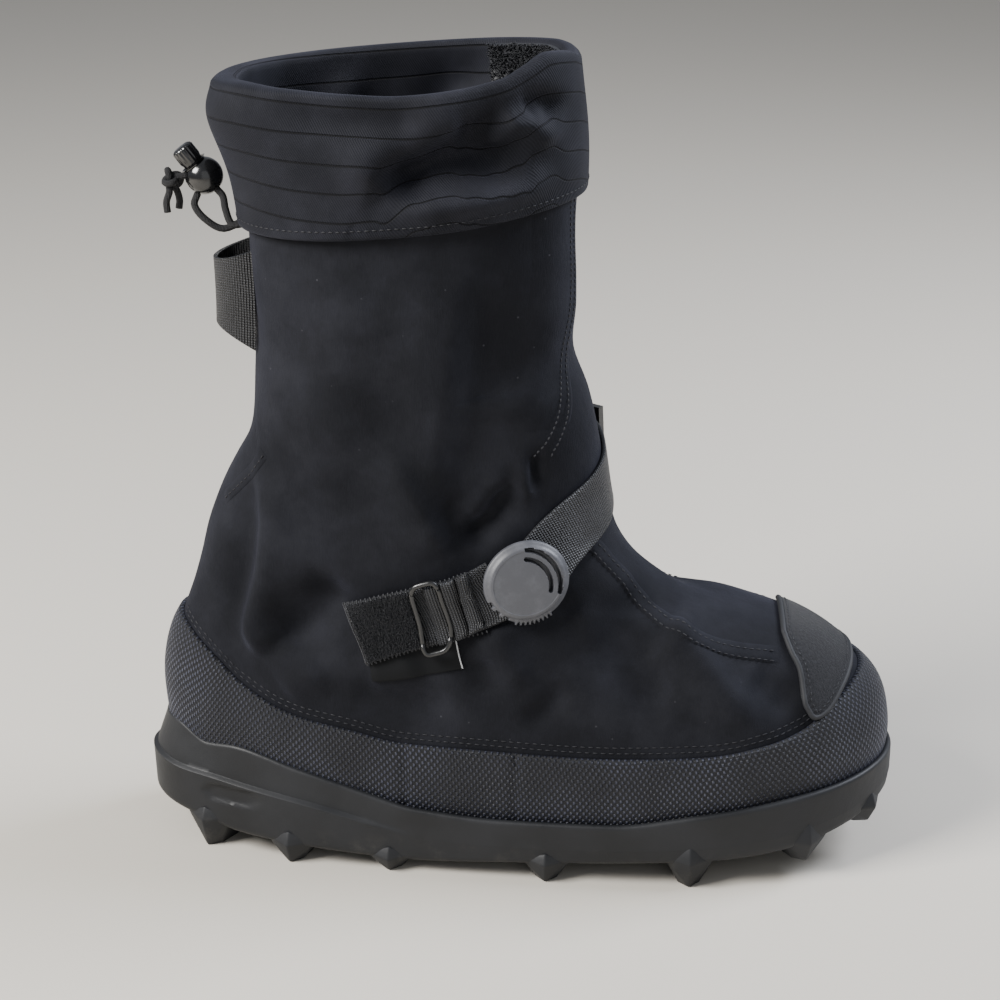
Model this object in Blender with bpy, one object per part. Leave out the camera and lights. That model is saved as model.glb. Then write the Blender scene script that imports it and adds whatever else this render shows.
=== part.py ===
"""Winter overshoe, right foot: lugged rubber sole, nylon upper, bumper, cuff, instep strap and drawcord.

Metres, +Z up. +X points to the toe, -Y to the outer side of the foot.
The origin is on the floor, under the middle of the heel's tread.
"""

import math
from collections import namedtuple

import bmesh
import bpy
import numpy as np
from mathutils import Matrix, Vector

# Driving sizes of the overshoe
LENGTH = 0.335            # sole, heel to toe
BALL_WIDTH = 0.120        # twice the widest half width of the sole
HEIGHT = 0.350            # floor to collar
SHAFT_WIDTH = 0.094       # across the shaft
HEEL_CENTRE = 0.052       # heel's back edge to the middle of the heel tread

# Walls and clearances
GAP = 0.0003
UPPER_WALL = 0.0020
BUMPER_WALL = 0.0016
PATCH_WALL = 0.0020
FLAP_WALL = 0.0016
CUFF_WALL = 0.0022
RIM_WALL = 0.0045         # sole lip round the foot
INSOLE_WALL = 0.0035
TAPE_WALL = 0.0014
LABEL_WALL = 0.0006

# Sole
LUG_WIDTH = 0.022
LUG_PROUD = 0.0026
LUG_ROOT = 0.0040         # inner lugs reach this far into the sole
LUG_DRAFT = 1.35          # inner lugs are this much wider at the root
STEP_DEPTH = 0.0020       # heel band stands proud of the wall above it
HEEL_CUP_LEAN = 0.0050    # heel cup leans in towards its top
UNDER_BEVEL = 0.0035      # underside set in from the sole's side
UNDER_ROUND = 0.0030      # height of the rounded lower edge
EDGE_ROUND = 0.0006       # how far that edge's top is set in
STEP_ROUND = 0.0015       # height of the slope over the heel band
LIP_ROUND = 0.0030        # height of the rounded lip
LIP_BEVEL = 0.0012

# Webbing, loop and hardware
STRAP_WIDTH = 0.025
STRAP_WALL = 0.0018
LOOP_REACH = 0.0165       # loop stands off the back of the shaft
LOOP_WALL = 0.0018
DISC_RADIUS = 0.0185
DISC_THICK = 0.0050
SLIDER_BAR = 0.0030
CORD_DIAMETER = 0.0030
LOCK_RADIUS = 0.0080
BUTTON_RADIUS = 0.0048
BUTTON_PROUD = 0.0075
BUTTON_TRAVEL = 0.0035
BUTTON_CLEARANCE = 0.0004
KNOT_RADIUS = 0.0050

# How finely the forms are cut
TURNS = 38                # points round the foot
RINGS = 22                # rings of facets from footbed to collar

# Plan of the sole: half widths at equal steps of the half turn from heel to toe, as shares of BALL_WIDTH
Plan = namedtuple("Plan", "outer inner")
PLAN = (
    Plan(0.000, 0.000),
    Plan(0.158, 0.167),
    Plan(0.275, 0.300),
    Plan(0.378, 0.354),
    Plan(0.425, 0.325),
    Plan(0.475, 0.320),
    Plan(0.504, 0.417),
    Plan(0.490, 0.454),
    Plan(0.382, 0.400),
    Plan(0.208, 0.242),
    Plan(0.000, 0.000),
)

# Rings of the upper's outer face from footbed to collar. back_x, front_x: shares of LENGTH. back_z, front_z:
# shares of HEIGHT. dip: how far the sides sag, share of HEIGHT. oval: 0 follows the sole's plan,
# 1 is an oval. half: the oval's half width, share of SHAFT_WIDTH. nose: roundness of its front, lower
# is blunter.
Ring = namedtuple("Ring", "back_x back_z front_x front_z dip oval half nose")
UPPER_RINGS = (
    Ring(0.024, 0.060, 0.979, 0.096, 0.022, 0.00, 0.53, 1.00),
    Ring(0.025, 0.120, 0.984, 0.120, 0.056, 0.00, 0.53, 1.00),
    Ring(0.030, 0.178, 0.983, 0.165, 0.062, 0.00, 0.53, 1.00),
    Ring(0.035, 0.229, 0.967, 0.214, 0.050, 0.12, 0.53, 1.00),
    Ring(0.044, 0.276, 0.934, 0.254, 0.032, 0.42, 0.53, 1.00),
    Ring(0.055, 0.309, 0.888, 0.288, 0.016, 0.80, 0.50, 1.00),
    Ring(0.068, 0.344, 0.834, 0.308, 0.000, 1.00, 0.48, 1.00),
    Ring(0.080, 0.381, 0.774, 0.322, 0.000, 1.00, 0.47, 1.00),
    Ring(0.091, 0.418, 0.717, 0.336, 0.000, 1.00, 0.47, 1.00),
    Ring(0.104, 0.451, 0.669, 0.368, 0.000, 1.00, 0.47, 0.95),
    Ring(0.117, 0.481, 0.632, 0.406, 0.000, 1.00, 0.47, 0.90),
    Ring(0.132, 0.512, 0.613, 0.458, 0.000, 1.00, 0.47, 0.86),
    Ring(0.150, 0.548, 0.600, 0.535, 0.000, 1.00, 0.48, 0.84),
    Ring(0.158, 0.588, 0.588, 0.594, 0.000, 1.00, 0.49, 0.84),
    Ring(0.161, 0.646, 0.566, 0.652, 0.000, 1.00, 0.495, 0.84),
    Ring(0.163, 0.714, 0.567, 0.715, 0.000, 1.00, 0.50, 0.84),
    Ring(0.161, 0.786, 0.567, 0.786, 0.000, 1.00, 0.50, 0.84),
    Ring(0.156, 0.857, 0.568, 0.857, 0.000, 1.00, 0.50, 0.84),
    Ring(0.150, 0.926, 0.566, 0.926, 0.000, 1.00, 0.49, 0.84),
    Ring(0.146, 0.976, 0.560, 1.012, 0.000, 1.00, 0.48, 0.84),
)
BACK_ROUND = 0.80         # roundness of each oval's back
TOP_RING = len(UPPER_RINGS) - 1

# Sole side, heel to toe: at is a share of LENGTH, the heights are shares of HEIGHT
Side = namedtuple("Side", "at under step lip ground")
SOLE_SIDE = (
    Side(0.000, 0.052, 0.112, 0.165, 0.018),
    Side(0.045, 0.044, 0.104, 0.160, 0.008),
    Side(0.085, 0.037, 0.102, 0.143, 0.000),
    Side(0.125, 0.029, 0.098, 0.147, 0.000),
    Side(0.215, 0.024, 0.086, 0.129, 0.000),
    Side(0.305, 0.018, 0.066, 0.105, 0.000),
    Side(0.365, 0.016, 0.054, 0.091, 0.000),
    Side(0.480, 0.022, 0.050, 0.083, 0.000),
    Side(0.625, 0.029, 0.052, 0.084, 0.000),
    Side(0.735, 0.034, 0.058, 0.100, 0.000),
    Side(0.840, 0.042, 0.068, 0.114, 0.014),
    Side(0.935, 0.060, 0.084, 0.124, 0.040),
    Side(1.000, 0.078, 0.100, 0.132, 0.058),
)
STEP_ENDS = 0.36          # heel band runs out at this share of LENGTH

# Side lugs: at is a share of LENGTH, gable is the peak's height as a share of HEIGHT
Lug = namedtuple("Lug", "at gable")
SIDE_LUGS = (
    Lug(0.080, 0.058),
    Lug(0.197, 0.046),
    Lug(0.331, 0.036),
    Lug(0.537, 0.042),
    Lug(0.725, 0.058),
    Lug(0.880, 0.078),
    Lug(0.968, 0.090),
)

# Side lug's corners: along and out from the sole's edge, and above its level, as shares of LUG_WIDTH
LugCorner = namedtuple("LugCorner", "along out level above")
LUG_FORM = (
    LugCorner(-0.210, -0.273, "floor", 0.000),
    LugCorner(0.210, -0.273, "floor", 0.000),
    LugCorner(0.000, -0.055, "floor", 0.000),
    LugCorner(-0.300, -0.864, "floor", 0.000),
    LugCorner(0.300, -0.864, "floor", 0.000),
    LugCorner(-0.500, -0.136, "under", 0.091),
    LugCorner(0.500, -0.136, "under", 0.091),
    LugCorner(-0.450, -1.000, "under", 0.023),
    LugCorner(0.450, -1.000, "under", 0.023),
    LugCorner(0.000, LUG_PROUD / LUG_WIDTH, "under", 0.045),
    LugCorner(0.000, 0.018, "gable", 0.000),
    LugCorner(0.000, -0.068, "gable", -0.045),
)

# Inner lugs: at is a share of LENGTH, across a share of BALL_WIDTH, long and wide shares of LUG_WIDTH
Block = namedtuple("Block", "at across long wide")
INNER_LUGS = (
    Block(HEEL_CENTRE / LENGTH, 0.00, 0.90, 1.10),
    Block(0.255, 0.00, 0.60, 1.30),
    Block(0.400, 0.12, 0.55, 0.80),
    Block(0.400, -0.17, 0.55, 0.80),
    Block(0.470, -0.03, 0.50, 1.00),
    Block(0.600, 0.14, 0.60, 0.90),
    Block(0.600, -0.17, 0.60, 0.90),
    Block(0.665, -0.01, 0.90, 1.10),
    Block(0.735, 0.20, 0.55, 0.90),
    Block(0.735, -0.20, 0.55, 0.90),
    Block(0.800, 0.02, 0.60, 1.10),
    Block(0.865, 0.16, 0.50, 0.80),
    Block(0.865, -0.13, 0.50, 0.80),
    Block(0.925, 0.02, 0.50, 1.00),
)

# Bumper's top edge: at is a share of LENGTH, top a share of HEIGHT
Edge = namedtuple("Edge", "at top")
BUMPER_EDGE = (
    Edge(0.000, 0.316),
    Edge(0.054, 0.303),
    Edge(0.092, 0.274),
    Edge(0.137, 0.233),
    Edge(0.203, 0.203),
    Edge(0.281, 0.189),
    Edge(0.352, 0.174),
    Edge(0.439, 0.171),
    Edge(0.606, 0.168),
    Edge(0.734, 0.172),
    Edge(0.809, 0.183),
    Edge(0.863, 0.196),
    Edge(0.902, 0.217),
    Edge(0.945, 0.240),
    Edge(1.000, 0.262),
)
BUMPER_TUCK = 0.006       # bumper goes down inside the sole's lip
UPPER_INSET = RIM_WALL + BUMPER_WALL + 2 * GAP    # sole's edge to the upper's outer face

# How high each layer of webbing lies over the upper
STRAP_LOW = GAP
STRAP_HIGH = GAP + STRAP_WALL
TAIL_LOW = LABEL_WALL + 2 * GAP
TAIL_HIGH = TAIL_LOW + STRAP_WALL
BARS_HIGH = TAIL_HIGH + GAP + SLIDER_BAR

# Places and routes on the upper: side, share of LENGTH, share of HEIGHT
Stop = namedtuple("Stop", "side along up")
DISC_PLACE = Stop("outer", 0.507, 0.392)
LOCK_PLACE = Stop("inner", 0.567, 0.500)
INSTEP_ROUTE = (
    Stop("outer", 0.515, 0.405),
    Stop("outer", 0.560, 0.440),
    Stop("front", 0.610, 0.500),
    Stop("inner", 0.590, 0.505),
    Stop("inner", 0.570, 0.500),
)
TAIL_ROUTE = (
    Stop("outer", 0.293, 0.318),
    Stop("outer", 0.390, 0.350),
    Stop("outer", 0.480, 0.383),
)
INNER_ROUTE = (
    Stop("inner", 0.538, 0.476),
    Stop("inner", 0.450, 0.380),
    Stop("inner", 0.370, 0.260),
)
LABEL_ROUTE = (
    Stop("outer", 0.311, 0.288),
    Stop("outer", 0.424, 0.308),
)
BAR_SHARES = (0.42, 0.56, 0.66, 0.76)   # bars across the tail, the slider first
BAR_LENGTH = 0.0034
LABEL_WIDTH = 0.020
LADDER_SIZE = (0.026, 0.036, 0.0030)    # along the strap, across it, thick
LADDER_BAR = 0.0042
LADDER_LIFT = 0.0009      # the flat frame clears the curved webbing

# Toe patch in the side view, shares of LENGTH and HEIGHT
PATCH_OUTLINE = (
    (0.842, 0.400), (0.842, 0.297), (0.850, 0.280), (0.860, 0.264), (0.865, 0.246),
    (0.867, 0.226), (0.880, 0.208), (0.899, 0.213), (0.916, 0.230), (0.930, 0.246),
    (0.938, 0.263), (0.941, 0.400),
)
PIPING_WIDTH = 0.0030
PIPING_PROUD = 0.0010

# Front flap, the outer panel's doubled edge, in the front view: shares of BALL_WIDTH and HEIGHT
FLAP_OUTLINE = (
    (-0.100, 1.100), (-0.100, 0.860), (-0.100, 0.720), (-0.125, 0.660), (-0.190, 0.600),
    (-0.235, 0.560), (-0.250, 0.542), (-0.330, 0.542), (-0.330, 1.100),
)

# Cuff's hem in the side view, and the hook tape in the front view
CUFF_HEM = ((-0.20, 0.802), (0.20, 0.810), (0.30, 0.816), (0.42, 0.827), (0.58, 0.850), (0.80, 0.868))
CUFF_FLARE = 0.0075       # cuff stands off the back of the shaft
TAPE_OUTLINE = ((-0.02, 0.935), (0.26, 0.935), (0.26, 1.10), (-0.02, 1.10))

# Disc buckle: teeth and slots round its middle, angles in degrees from the instep's side
DISC_TAPER = 0.90
DISC_TEETH = 9
DISC_TEETH_START = 178
DISC_TEETH_STEP = 13
DISC_TOOTH = 0.0022
DISC_SLOTS = (0.0125, 0.0172)
DISC_SLOT_HALF = 0.0011
DISC_SLOT_REACH = 42
DISC_SLOT_SHIFT = 0.0040

# Pull loop: low and high edges as shares of HEIGHT, at the shaft and at the far end
LOOP_ROOT = (0.655, 0.778)
LOOP_BACK = (0.683, 0.762)
LOOP_HALF = 0.016         # half width between its two ends

# Drawcord: places in metres from the heel's back edge, as the cord lies
LOCK_AT = Vector((0.0352, -0.002, 0.3010))
LOCK_AXIS = Vector((-0.60, -0.06, 0.80)).normalized()
KNOT_AT = Vector((0.0219, -0.0030, 0.3000))
STRAND_OUTER = (
    (0.0510, -0.0100, 0.2798), (0.0472, -0.0102, 0.2826), (0.0446, -0.0088, 0.2884),
    (0.0434, -0.0063, 0.2932), (0.0410, -0.0049, 0.2958),
)
STRAND_INNER = (
    (0.0512, -0.0035, 0.2812), (0.0430, -0.0050, 0.2793), (0.0355, -0.0060, 0.2835),
    (0.0312, -0.0052, 0.2890), (0.0323, -0.0041, 0.2935),
)
TAIL_OUTER = ((0.0208, -0.0046, 0.2946), (0.0195, -0.0055, 0.2905), (0.0198, -0.0058, 0.2862))
TAIL_INNER = ((0.0235, -0.0018, 0.2946), (0.0242, -0.0008, 0.2905), (0.0238, -0.0010, 0.2868))


def smooth(columns, values, x):
    """A smooth curve through the rows of a table, without overshoot."""
    xs = np.asarray(columns, float)
    ys = np.asarray(values, float)
    x = min(max(x, xs[0]), xs[-1])
    k = min(max(int(np.searchsorted(xs, x)) - 1, 0), len(xs) - 2)
    steps = np.diff(xs)
    slopes = np.diff(ys) / steps
    ends = [slopes[0]]
    for before, after in zip(slopes[:-1], slopes[1:]):
        ends.append(0.0 if before * after <= 0 else 2 * before * after / (before + after))
    ends.append(slopes[-1])
    t = (x - xs[k]) / steps[k]
    low = ys[k] * (1 + 2 * t) * (1 - t) ** 2 + ends[k] * steps[k] * t * (1 - t) ** 2
    high = ys[k + 1] * (3 - 2 * t) * t * t + ends[k + 1] * steps[k] * t * t * (t - 1)
    return low + high


def flowing(values, x):
    """A smooth curve through equally spaced values."""
    x = min(max(x, 0.0), len(values) - 1.0)
    k = min(int(x), len(values) - 2)
    t = x - k
    before = values[k - 1] if k > 0 else 2 * values[k] - values[k + 1]
    after = values[k + 2] if k + 2 < len(values) else 2 * values[k + 1] - values[k]
    a = 2 * values[k]
    b = values[k + 1] - before
    c = 2 * before - 5 * values[k] + 4 * values[k + 1] - after
    d = 3 * values[k] - before - 3 * values[k + 1] + after
    return 0.5 * (a + b * t + c * t * t + d * t ** 3)


def plan_edge(turn):
    """Point of the sole's plan at a turn: 0 heel, 0.25 outer side, 0.5 toe, 0.75 inner side."""
    turn = turn % 1.0
    half = 2 * turn if turn <= 0.5 else 2 - 2 * turn
    x = LENGTH * (1 - math.cos(math.pi * half)) / 2
    along = half * (len(PLAN) - 1)
    if turn <= 0.5:
        mirrored = [-PLAN[1].inner] + [row.outer for row in PLAN] + [-PLAN[-2].inner]
        return np.array((x, -BALL_WIDTH * flowing(mirrored, along + 1)))
    mirrored = [-PLAN[1].outer] + [row.inner for row in PLAN] + [-PLAN[-2].outer]
    return np.array((x, BALL_WIDTH * flowing(mirrored, along + 1)))


def plan_normal(turn):
    step = 0.002
    run = plan_edge(turn + step) - plan_edge(turn - step)
    out = np.array((-run[1], run[0]))
    out = -out / np.linalg.norm(out)
    return out if out @ (plan_edge(turn) - np.array((LENGTH / 2, 0.0))) > 0 else -out


def plan_inside(turn, inset):
    return plan_edge(turn) - inset * plan_normal(turn)


def ring_row(ring):
    return Ring(*(flowing([row[c] for row in UPPER_RINGS], ring) for c in range(len(Ring._fields))))


def upper_point(ring, turn):
    """The upper's outer face, x from the heel's back edge. ring 0 is the footbed, TOP_RING the collar."""
    turn = turn % 1.0
    row = ring_row(ring)
    half = 2 * math.pi * (turn if turn <= 0.5 else 1 - turn)
    side = -1 if turn <= 0.5 else 1
    heel = plan_inside(0.0, UPPER_INSET)
    toe = plan_inside(0.5, UPPER_INSET)
    foot = plan_inside(turn, UPPER_INSET)
    foot_share = (foot[0] - heel[0]) / (toe[0] - heel[0])
    oval_share = (1 - math.cos(half)) / 2
    power = BACK_ROUND + (row.nose - BACK_ROUND) * oval_share
    oval_y = side * row.half * SHAFT_WIDTH * max(math.sin(half), 0.0) ** power
    share = foot_share + (oval_share - foot_share) * row.oval
    x = LENGTH * (row.back_x + (row.front_x - row.back_x) * share)
    y = foot[1] + (oval_y - foot[1]) * row.oval
    sag = row.dip * math.sin(math.pi * min(max(share, 0.0), 1.0)) ** 1.3
    z = HEIGHT * (row.back_z + (row.front_z - row.back_z) * share - sag)
    return np.array((x, y, z))


def upper_normal(ring, turn):
    low = max(ring - 0.05, 0.0)
    high = min(ring + 0.05, float(TOP_RING))
    up = upper_point(high, turn) - upper_point(low, turn)
    around = upper_point(ring, turn + 0.004) - upper_point(ring, turn - 0.004)
    normal = np.cross(around, up)
    return normal / np.linalg.norm(normal)


def upper_at(ring, turn, lift=0.0):
    return upper_point(ring, turn) + lift * upper_normal(ring, turn)


def ring_at_height(turn, height, low=0.0, high=8.0):
    """The ring whose outer face passes height(x) at this turn."""
    for _ in range(24):
        middle = (low + high) / 2
        point = upper_point(middle, turn)
        if point[2] < height(point[0]):
            low = middle
        else:
            high = middle
    return (low + high) / 2


def side_height(column):
    ats = [row.at for row in SOLE_SIDE]
    values = [getattr(row, column) for row in SOLE_SIDE]
    return lambda x: HEIGHT * smooth(ats, values, x / LENGTH)


under_height = side_height("under")
step_height = side_height("step")
lip_height = side_height("lip")
ground_height = side_height("ground")


def footbed_height(x):
    """Height of the upper's lower edge, which stands on the footbed."""
    row = UPPER_RINGS[0]
    share = (x / LENGTH - row.back_x) / (row.front_x - row.back_x)
    share = min(max(share, 0.0), 1.0)
    sag = row.dip * math.sin(math.pi * share) ** 1.3
    return HEIGHT * (row.back_z + (row.front_z - row.back_z) * share - sag)


def bumper_height(x):
    return HEIGHT * smooth([row.at for row in BUMPER_EDGE], [row.top for row in BUMPER_EDGE], x / LENGTH)


def place(point):
    return (point[0] - HEEL_CENTRE, point[1], point[2])


def clear_scene():
    for item in list(bpy.data.objects):
        bpy.data.objects.remove(item, do_unlink=True)


clear_scene()
overshoe = bpy.data.collections.new("winter_overshoe")
cutters = bpy.data.collections.new("cutters")
bpy.context.scene.collection.children.link(overshoe)
bpy.context.scene.collection.children.link(cutters)


def material(name, colour, roughness, metallic=0.0):
    made = bpy.data.materials.new(name)
    made.use_nodes = True
    shader = made.node_tree.nodes["Principled BSDF"]
    shader.inputs["Base Color"].default_value = (*colour, 1.0)
    shader.inputs["Roughness"].default_value = roughness
    shader.inputs["Metallic"].default_value = metallic
    return made


SOLE_RUBBER = material("sole_rubber", (0.022, 0.024, 0.028), 0.55)
INSOLE_FOAM = material("insole_foam", (0.030, 0.030, 0.032), 0.90)
NYLON = material("nylon_cloth", (0.008, 0.009, 0.014), 0.75)
BUMPER_CLOTH = material("bumper_weave", (0.020, 0.022, 0.030), 0.60)
PATCH_FELT = material("toe_patch_felt", (0.014, 0.015, 0.018), 0.90)
PIPING = material("patch_piping", (0.010, 0.010, 0.012), 0.45)
FLAP_CLOTH = material("flap_cloth", (0.008, 0.009, 0.014), 0.75)
TWILL = material("cuff_twill", (0.010, 0.011, 0.018), 0.70)
HOOKS = material("hook_tape", (0.004, 0.004, 0.005), 0.95)
LOOP_TAPE = material("pull_loop_tape", (0.018, 0.019, 0.024), 0.70)
WEBBING = material("strap_webbing", (0.006, 0.006, 0.008), 0.65)
GREY_PLASTIC = material("disc_plastic", (0.110, 0.115, 0.125), 0.40)
BLACK_PLASTIC = material("black_plastic", (0.008, 0.008, 0.009), 0.30)
LABEL_CLOTH = material("label_cloth", (0.006, 0.006, 0.007), 0.60)
CORD_ELASTIC = material("cord_elastic", (0.005, 0.005, 0.006), 0.70)


def finished(name, mesh, surface, smooth_angle=None):
    mesh.materials.append(surface)
    if smooth_angle is not None:
        mesh.shade_smooth()
        mesh.set_sharp_from_angle(angle=smooth_angle)
    thing = bpy.data.objects.new(name, mesh)
    overshoe.objects.link(thing)
    return thing


def mesh_of(name, bm):
    bmesh.ops.recalc_face_normals(bm, faces=bm.faces)
    mesh = bpy.data.meshes.new(name)
    bm.to_mesh(mesh)
    bm.free()
    return mesh


def facet_rings(low, high):
    """The rings that carry the upper's facets and span two ring numbers."""
    step = TOP_RING / (RINGS - 1)
    return [k * step for k in range(int(low / step), min(int(math.ceil(high / step)) + 1, RINGS))]


def wall(name, surface, low_lift, high_lift, low_ring=0, high_ring=TOP_RING):
    """A closed wall round the foot, between two lifts off the upper, on the upper's own facets."""
    rings = facet_rings(low_ring, high_ring)
    turns = whole_turns(TURNS)
    bm = bmesh.new()
    grids = []
    for lift in (low_lift, high_lift):
        grids.append([[bm.verts.new(place(upper_at(r, t, lift(r, t) if callable(lift) else lift)))
                       for t in turns] for r in rings])
    inner, outer = grids
    for grid in grids:
        for low, high in zip(grid[:-1], grid[1:]):
            bridge(bm, low, high)
    bridge(bm, inner[0], outer[0])
    bridge(bm, inner[-1], outer[-1])
    bmesh.ops.triangulate(bm, faces=bm.faces)
    return finished(name, mesh_of(name, bm), surface, math.radians(40))


def bridge(bm, low, high):
    """Faces between two loops of the same number of points."""
    count = len(low)
    for c in range(count):
        d = (c + 1) % count
        bm.faces.new((low[c], low[d], high[d], high[c]))


def across(bm, loop):
    """Faces across the foot, from each point of a loop to the one at the other side."""
    count = len(loop)
    for c in range(count // 2):
        corners = list(dict.fromkeys((loop[c], loop[c + 1], loop[count - c - 1], loop[-c % count])))
        bm.faces.new(corners)


def whole_turns(count):
    return [k / count for k in range(count)]


def prism(name, outline, axis, low, high):
    """Cutter: an outline in the side view (axis Y) or front view (axis X), run from low to high."""
    bm = bmesh.new()
    loops = []
    for depth in (low, high):
        if axis == "Y":
            loops.append([bm.verts.new(place((a, depth, b))) for a, b in outline])
        else:
            loops.append([bm.verts.new(place((depth, a, b))) for a, b in outline])
    bridge(bm, *loops)
    for loop in loops:
        bm.faces.new(loop)
    made = bpy.data.objects.new(name, mesh_of(name, bm))
    made.hide_render = True
    made.display_type = "WIRE"
    cutters.objects.link(made)
    return made


def cut(thing, cutter, operation):
    step = thing.modifiers.new(cutter.name, "BOOLEAN")
    step.operation = operation
    step.object = cutter


def make_outsole():
    """Rubber tray: lip and heel cup outside, footbed inside, lugs joined to its underside."""
    turns = whole_turns(TURNS)

    def wall_row(height, inset):
        row = []
        for t in turns:
            x, y = plan_inside(t, 0.0)
            x, y = plan_inside(t, inset(x))
            row.append((x, y, height(x)))
        return row

    def heel_share(x):
        return max(0.0, 1 - x / (LENGTH * STEP_ENDS))

    def stepped(x):
        return STEP_DEPTH * min(1.0, 4 * heel_share(x))

    def leaned(x):
        return stepped(x) + HEEL_CUP_LEAN * heel_share(x) ** 2

    rows = [
        wall_row(under_height, lambda x: UNDER_BEVEL),
        wall_row(lambda x: under_height(x) + UNDER_ROUND, lambda x: EDGE_ROUND),
        wall_row(lambda x: (under_height(x) + step_height(x)) / 2, lambda x: 0.0),
        wall_row(step_height, lambda x: 0.0),
        wall_row(lambda x: step_height(x) + STEP_ROUND, stepped),
        wall_row(lambda x: lip_height(x) - LIP_ROUND, leaned),
        wall_row(lip_height, lambda x: leaned(x) + LIP_BEVEL),
    ]
    bm = bmesh.new()
    grid = [[bm.verts.new(place(p)) for p in row] for row in rows]
    for low, high in zip(grid[:-1], grid[1:]):
        bridge(bm, low, high)
    across(bm, grid[0])
    across(bm, grid[-1])
    bmesh.ops.triangulate(bm, faces=bm.faces)
    sole = finished("outsole", mesh_of("outsole", bm), SOLE_RUBBER, math.radians(35))
    cut(sole, tray_room(), "DIFFERENCE")

    for k, points in enumerate(side_lug_points() + inner_lug_points()):
        lug = bmesh.new()
        made = [lug.verts.new(place(p)) for p in points]
        bmesh.ops.convex_hull(lug, input=made)
        cutter = bpy.data.objects.new(f"lug_{k:02d}", mesh_of(f"lug_{k:02d}", lug))
        cutter.hide_render = True
        cutter.display_type = "WIRE"
        cutters.objects.link(cutter)
        cut(sole, cutter, "UNION")
    return sole


def tray_room():
    """Cutter for the tray's inside: the foot with its bumper and clearance, down to the footbed."""
    turns = whole_turns(TURNS)
    rows = [[upper_at(ring, t, BUMPER_WALL + 2 * GAP) for t in turns] for ring in facet_rings(0.0, 3.5)]
    rows[0] = [(p[0], p[1], footbed_height(p[0]) - 2 * GAP) for p in rows[0]]
    rows.insert(0, [(p[0], p[1], footbed_height(p[0]) - 2 * GAP) for p in insole_outline()])
    bm = bmesh.new()
    grid = [[bm.verts.new(place(p)) for p in row] for row in rows]
    for low, high in zip(grid[:-1], grid[1:]):
        bridge(bm, low, high)
    across(bm, grid[0])
    across(bm, grid[-1])
    bmesh.ops.triangulate(bm, faces=bm.faces)
    return cutter_object("tray_room", bm, Matrix.Identity(4))


def side_turn(at, outer):
    """The turn at which the plan passes a share of the length."""
    half = math.acos(1 - 2 * at) / (2 * math.pi)
    return half if outer else 1 - half


def side_lug_points():
    lugs = []
    for outer in (True, False):
        for lug in SIDE_LUGS:
            turn = side_turn(lug.at, outer)
            edge = plan_edge(turn)
            out = plan_normal(turn)
            along = np.array((-out[1], out[0]))
            levels = {
                "floor": ground_height(edge[0]),
                "under": under_height(edge[0]),
                "gable": lug.gable * HEIGHT,
            }
            points = []
            for corner in LUG_FORM:
                x, y = edge + LUG_WIDTH * (corner.along * along + corner.out * out)
                points.append((x, y, levels[corner.level] + LUG_WIDTH * corner.above))
            lugs.append(points)
    return lugs


def inner_lug_points():
    lugs = []
    for block in INNER_LUGS:
        x = block.at * LENGTH
        y = block.across * BALL_WIDTH
        long_half = block.long * LUG_WIDTH / 2
        wide_half = block.wide * LUG_WIDTH / 2
        floor = ground_height(x)
        points = []
        for level, grow in ((floor, 1.0), (under_height(x) + LUG_ROOT, LUG_DRAFT)):
            for a in (-1, 1):
                for b in (-1, 1):
                    points.append((x + a * long_half * grow, y + b * wide_half * grow, level))
        lugs.append(points)
    return lugs


def insole_outline():
    return [upper_at(0.0, t, -(UPPER_WALL + 3 * GAP)) for t in whole_turns(TURNS)]


def make_insole():
    """Thin foam sheet on the footbed, inside the upper."""
    outline = insole_outline()
    bm = bmesh.new()
    low = [bm.verts.new(place((p[0], p[1], footbed_height(p[0]) - GAP))) for p in outline]
    high = [bm.verts.new(place((p[0], p[1], footbed_height(p[0]) - GAP + INSOLE_WALL))) for p in outline]
    bridge(bm, low, high)
    across(bm, low)
    across(bm, high)
    bmesh.ops.triangulate(bm, faces=bm.faces)
    return finished("insole", mesh_of("insole", bm), INSOLE_FOAM)


def make_upper():
    """Foot and shaft in one nylon wall, open at the collar and underneath."""
    return wall("upper", NYLON, -UPPER_WALL, 0.0)


def grown(outline, by):
    """An outline moved outwards by a distance; its points run round either way."""
    points = [Vector(p) for p in outline]
    area = sum(a.x * b.y - b.x * a.y for a, b in zip(points, points[1:] + points[:1]))
    moved = []
    for k, point in enumerate(points):
        before = (point - points[k - 1]).normalized()
        after = (points[(k + 1) % len(points)] - point).normalized()
        run = (before + after).normalized()
        out = Vector((run.y, -run.x)) if area > 0 else Vector((-run.y, run.x))
        moved.append(tuple(point + out * by / max(before.dot(run), 0.4)))
    return moved


def on_upper(side, along, up):
    """Ring and turn of the upper's point at a share of LENGTH and HEIGHT, on a side or on the front line."""
    height = up * HEIGHT
    if side == "front":
        return ring_at_height(0.5, lambda x: height, 0.0, TOP_RING), 0.5
    low, high = (0.02, 0.5) if side == "outer" else (0.98, 0.5)
    for _ in range(20):
        turn = (low + high) / 2
        ring = ring_at_height(turn, lambda x: height, 0.0, TOP_RING)
        if upper_point(ring, turn)[0] < along * LENGTH:
            low = turn
        else:
            high = turn
    return ring, turn


def route(stops, count):
    """Points, directions and normals of a smooth line through the stops, on the upper."""
    places = [on_upper(*stop) for stop in stops]
    rings = [p[0] for p in places]
    turns = [p[1] for p in places]
    line = []
    for k in range(count):
        x = k * (len(stops) - 1) / (count - 1)
        line.append((flowing(rings, x), flowing(turns, x)))
    points = [Vector(upper_point(r, t)) for r, t in line]
    normals = [Vector(upper_normal(r, t)) for r, t in line]
    runs = [(points[min(k + 1, count - 1)] - points[max(k - 1, 0)]).normalized() for k in range(count)]
    return list(zip(points, runs, normals))


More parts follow.
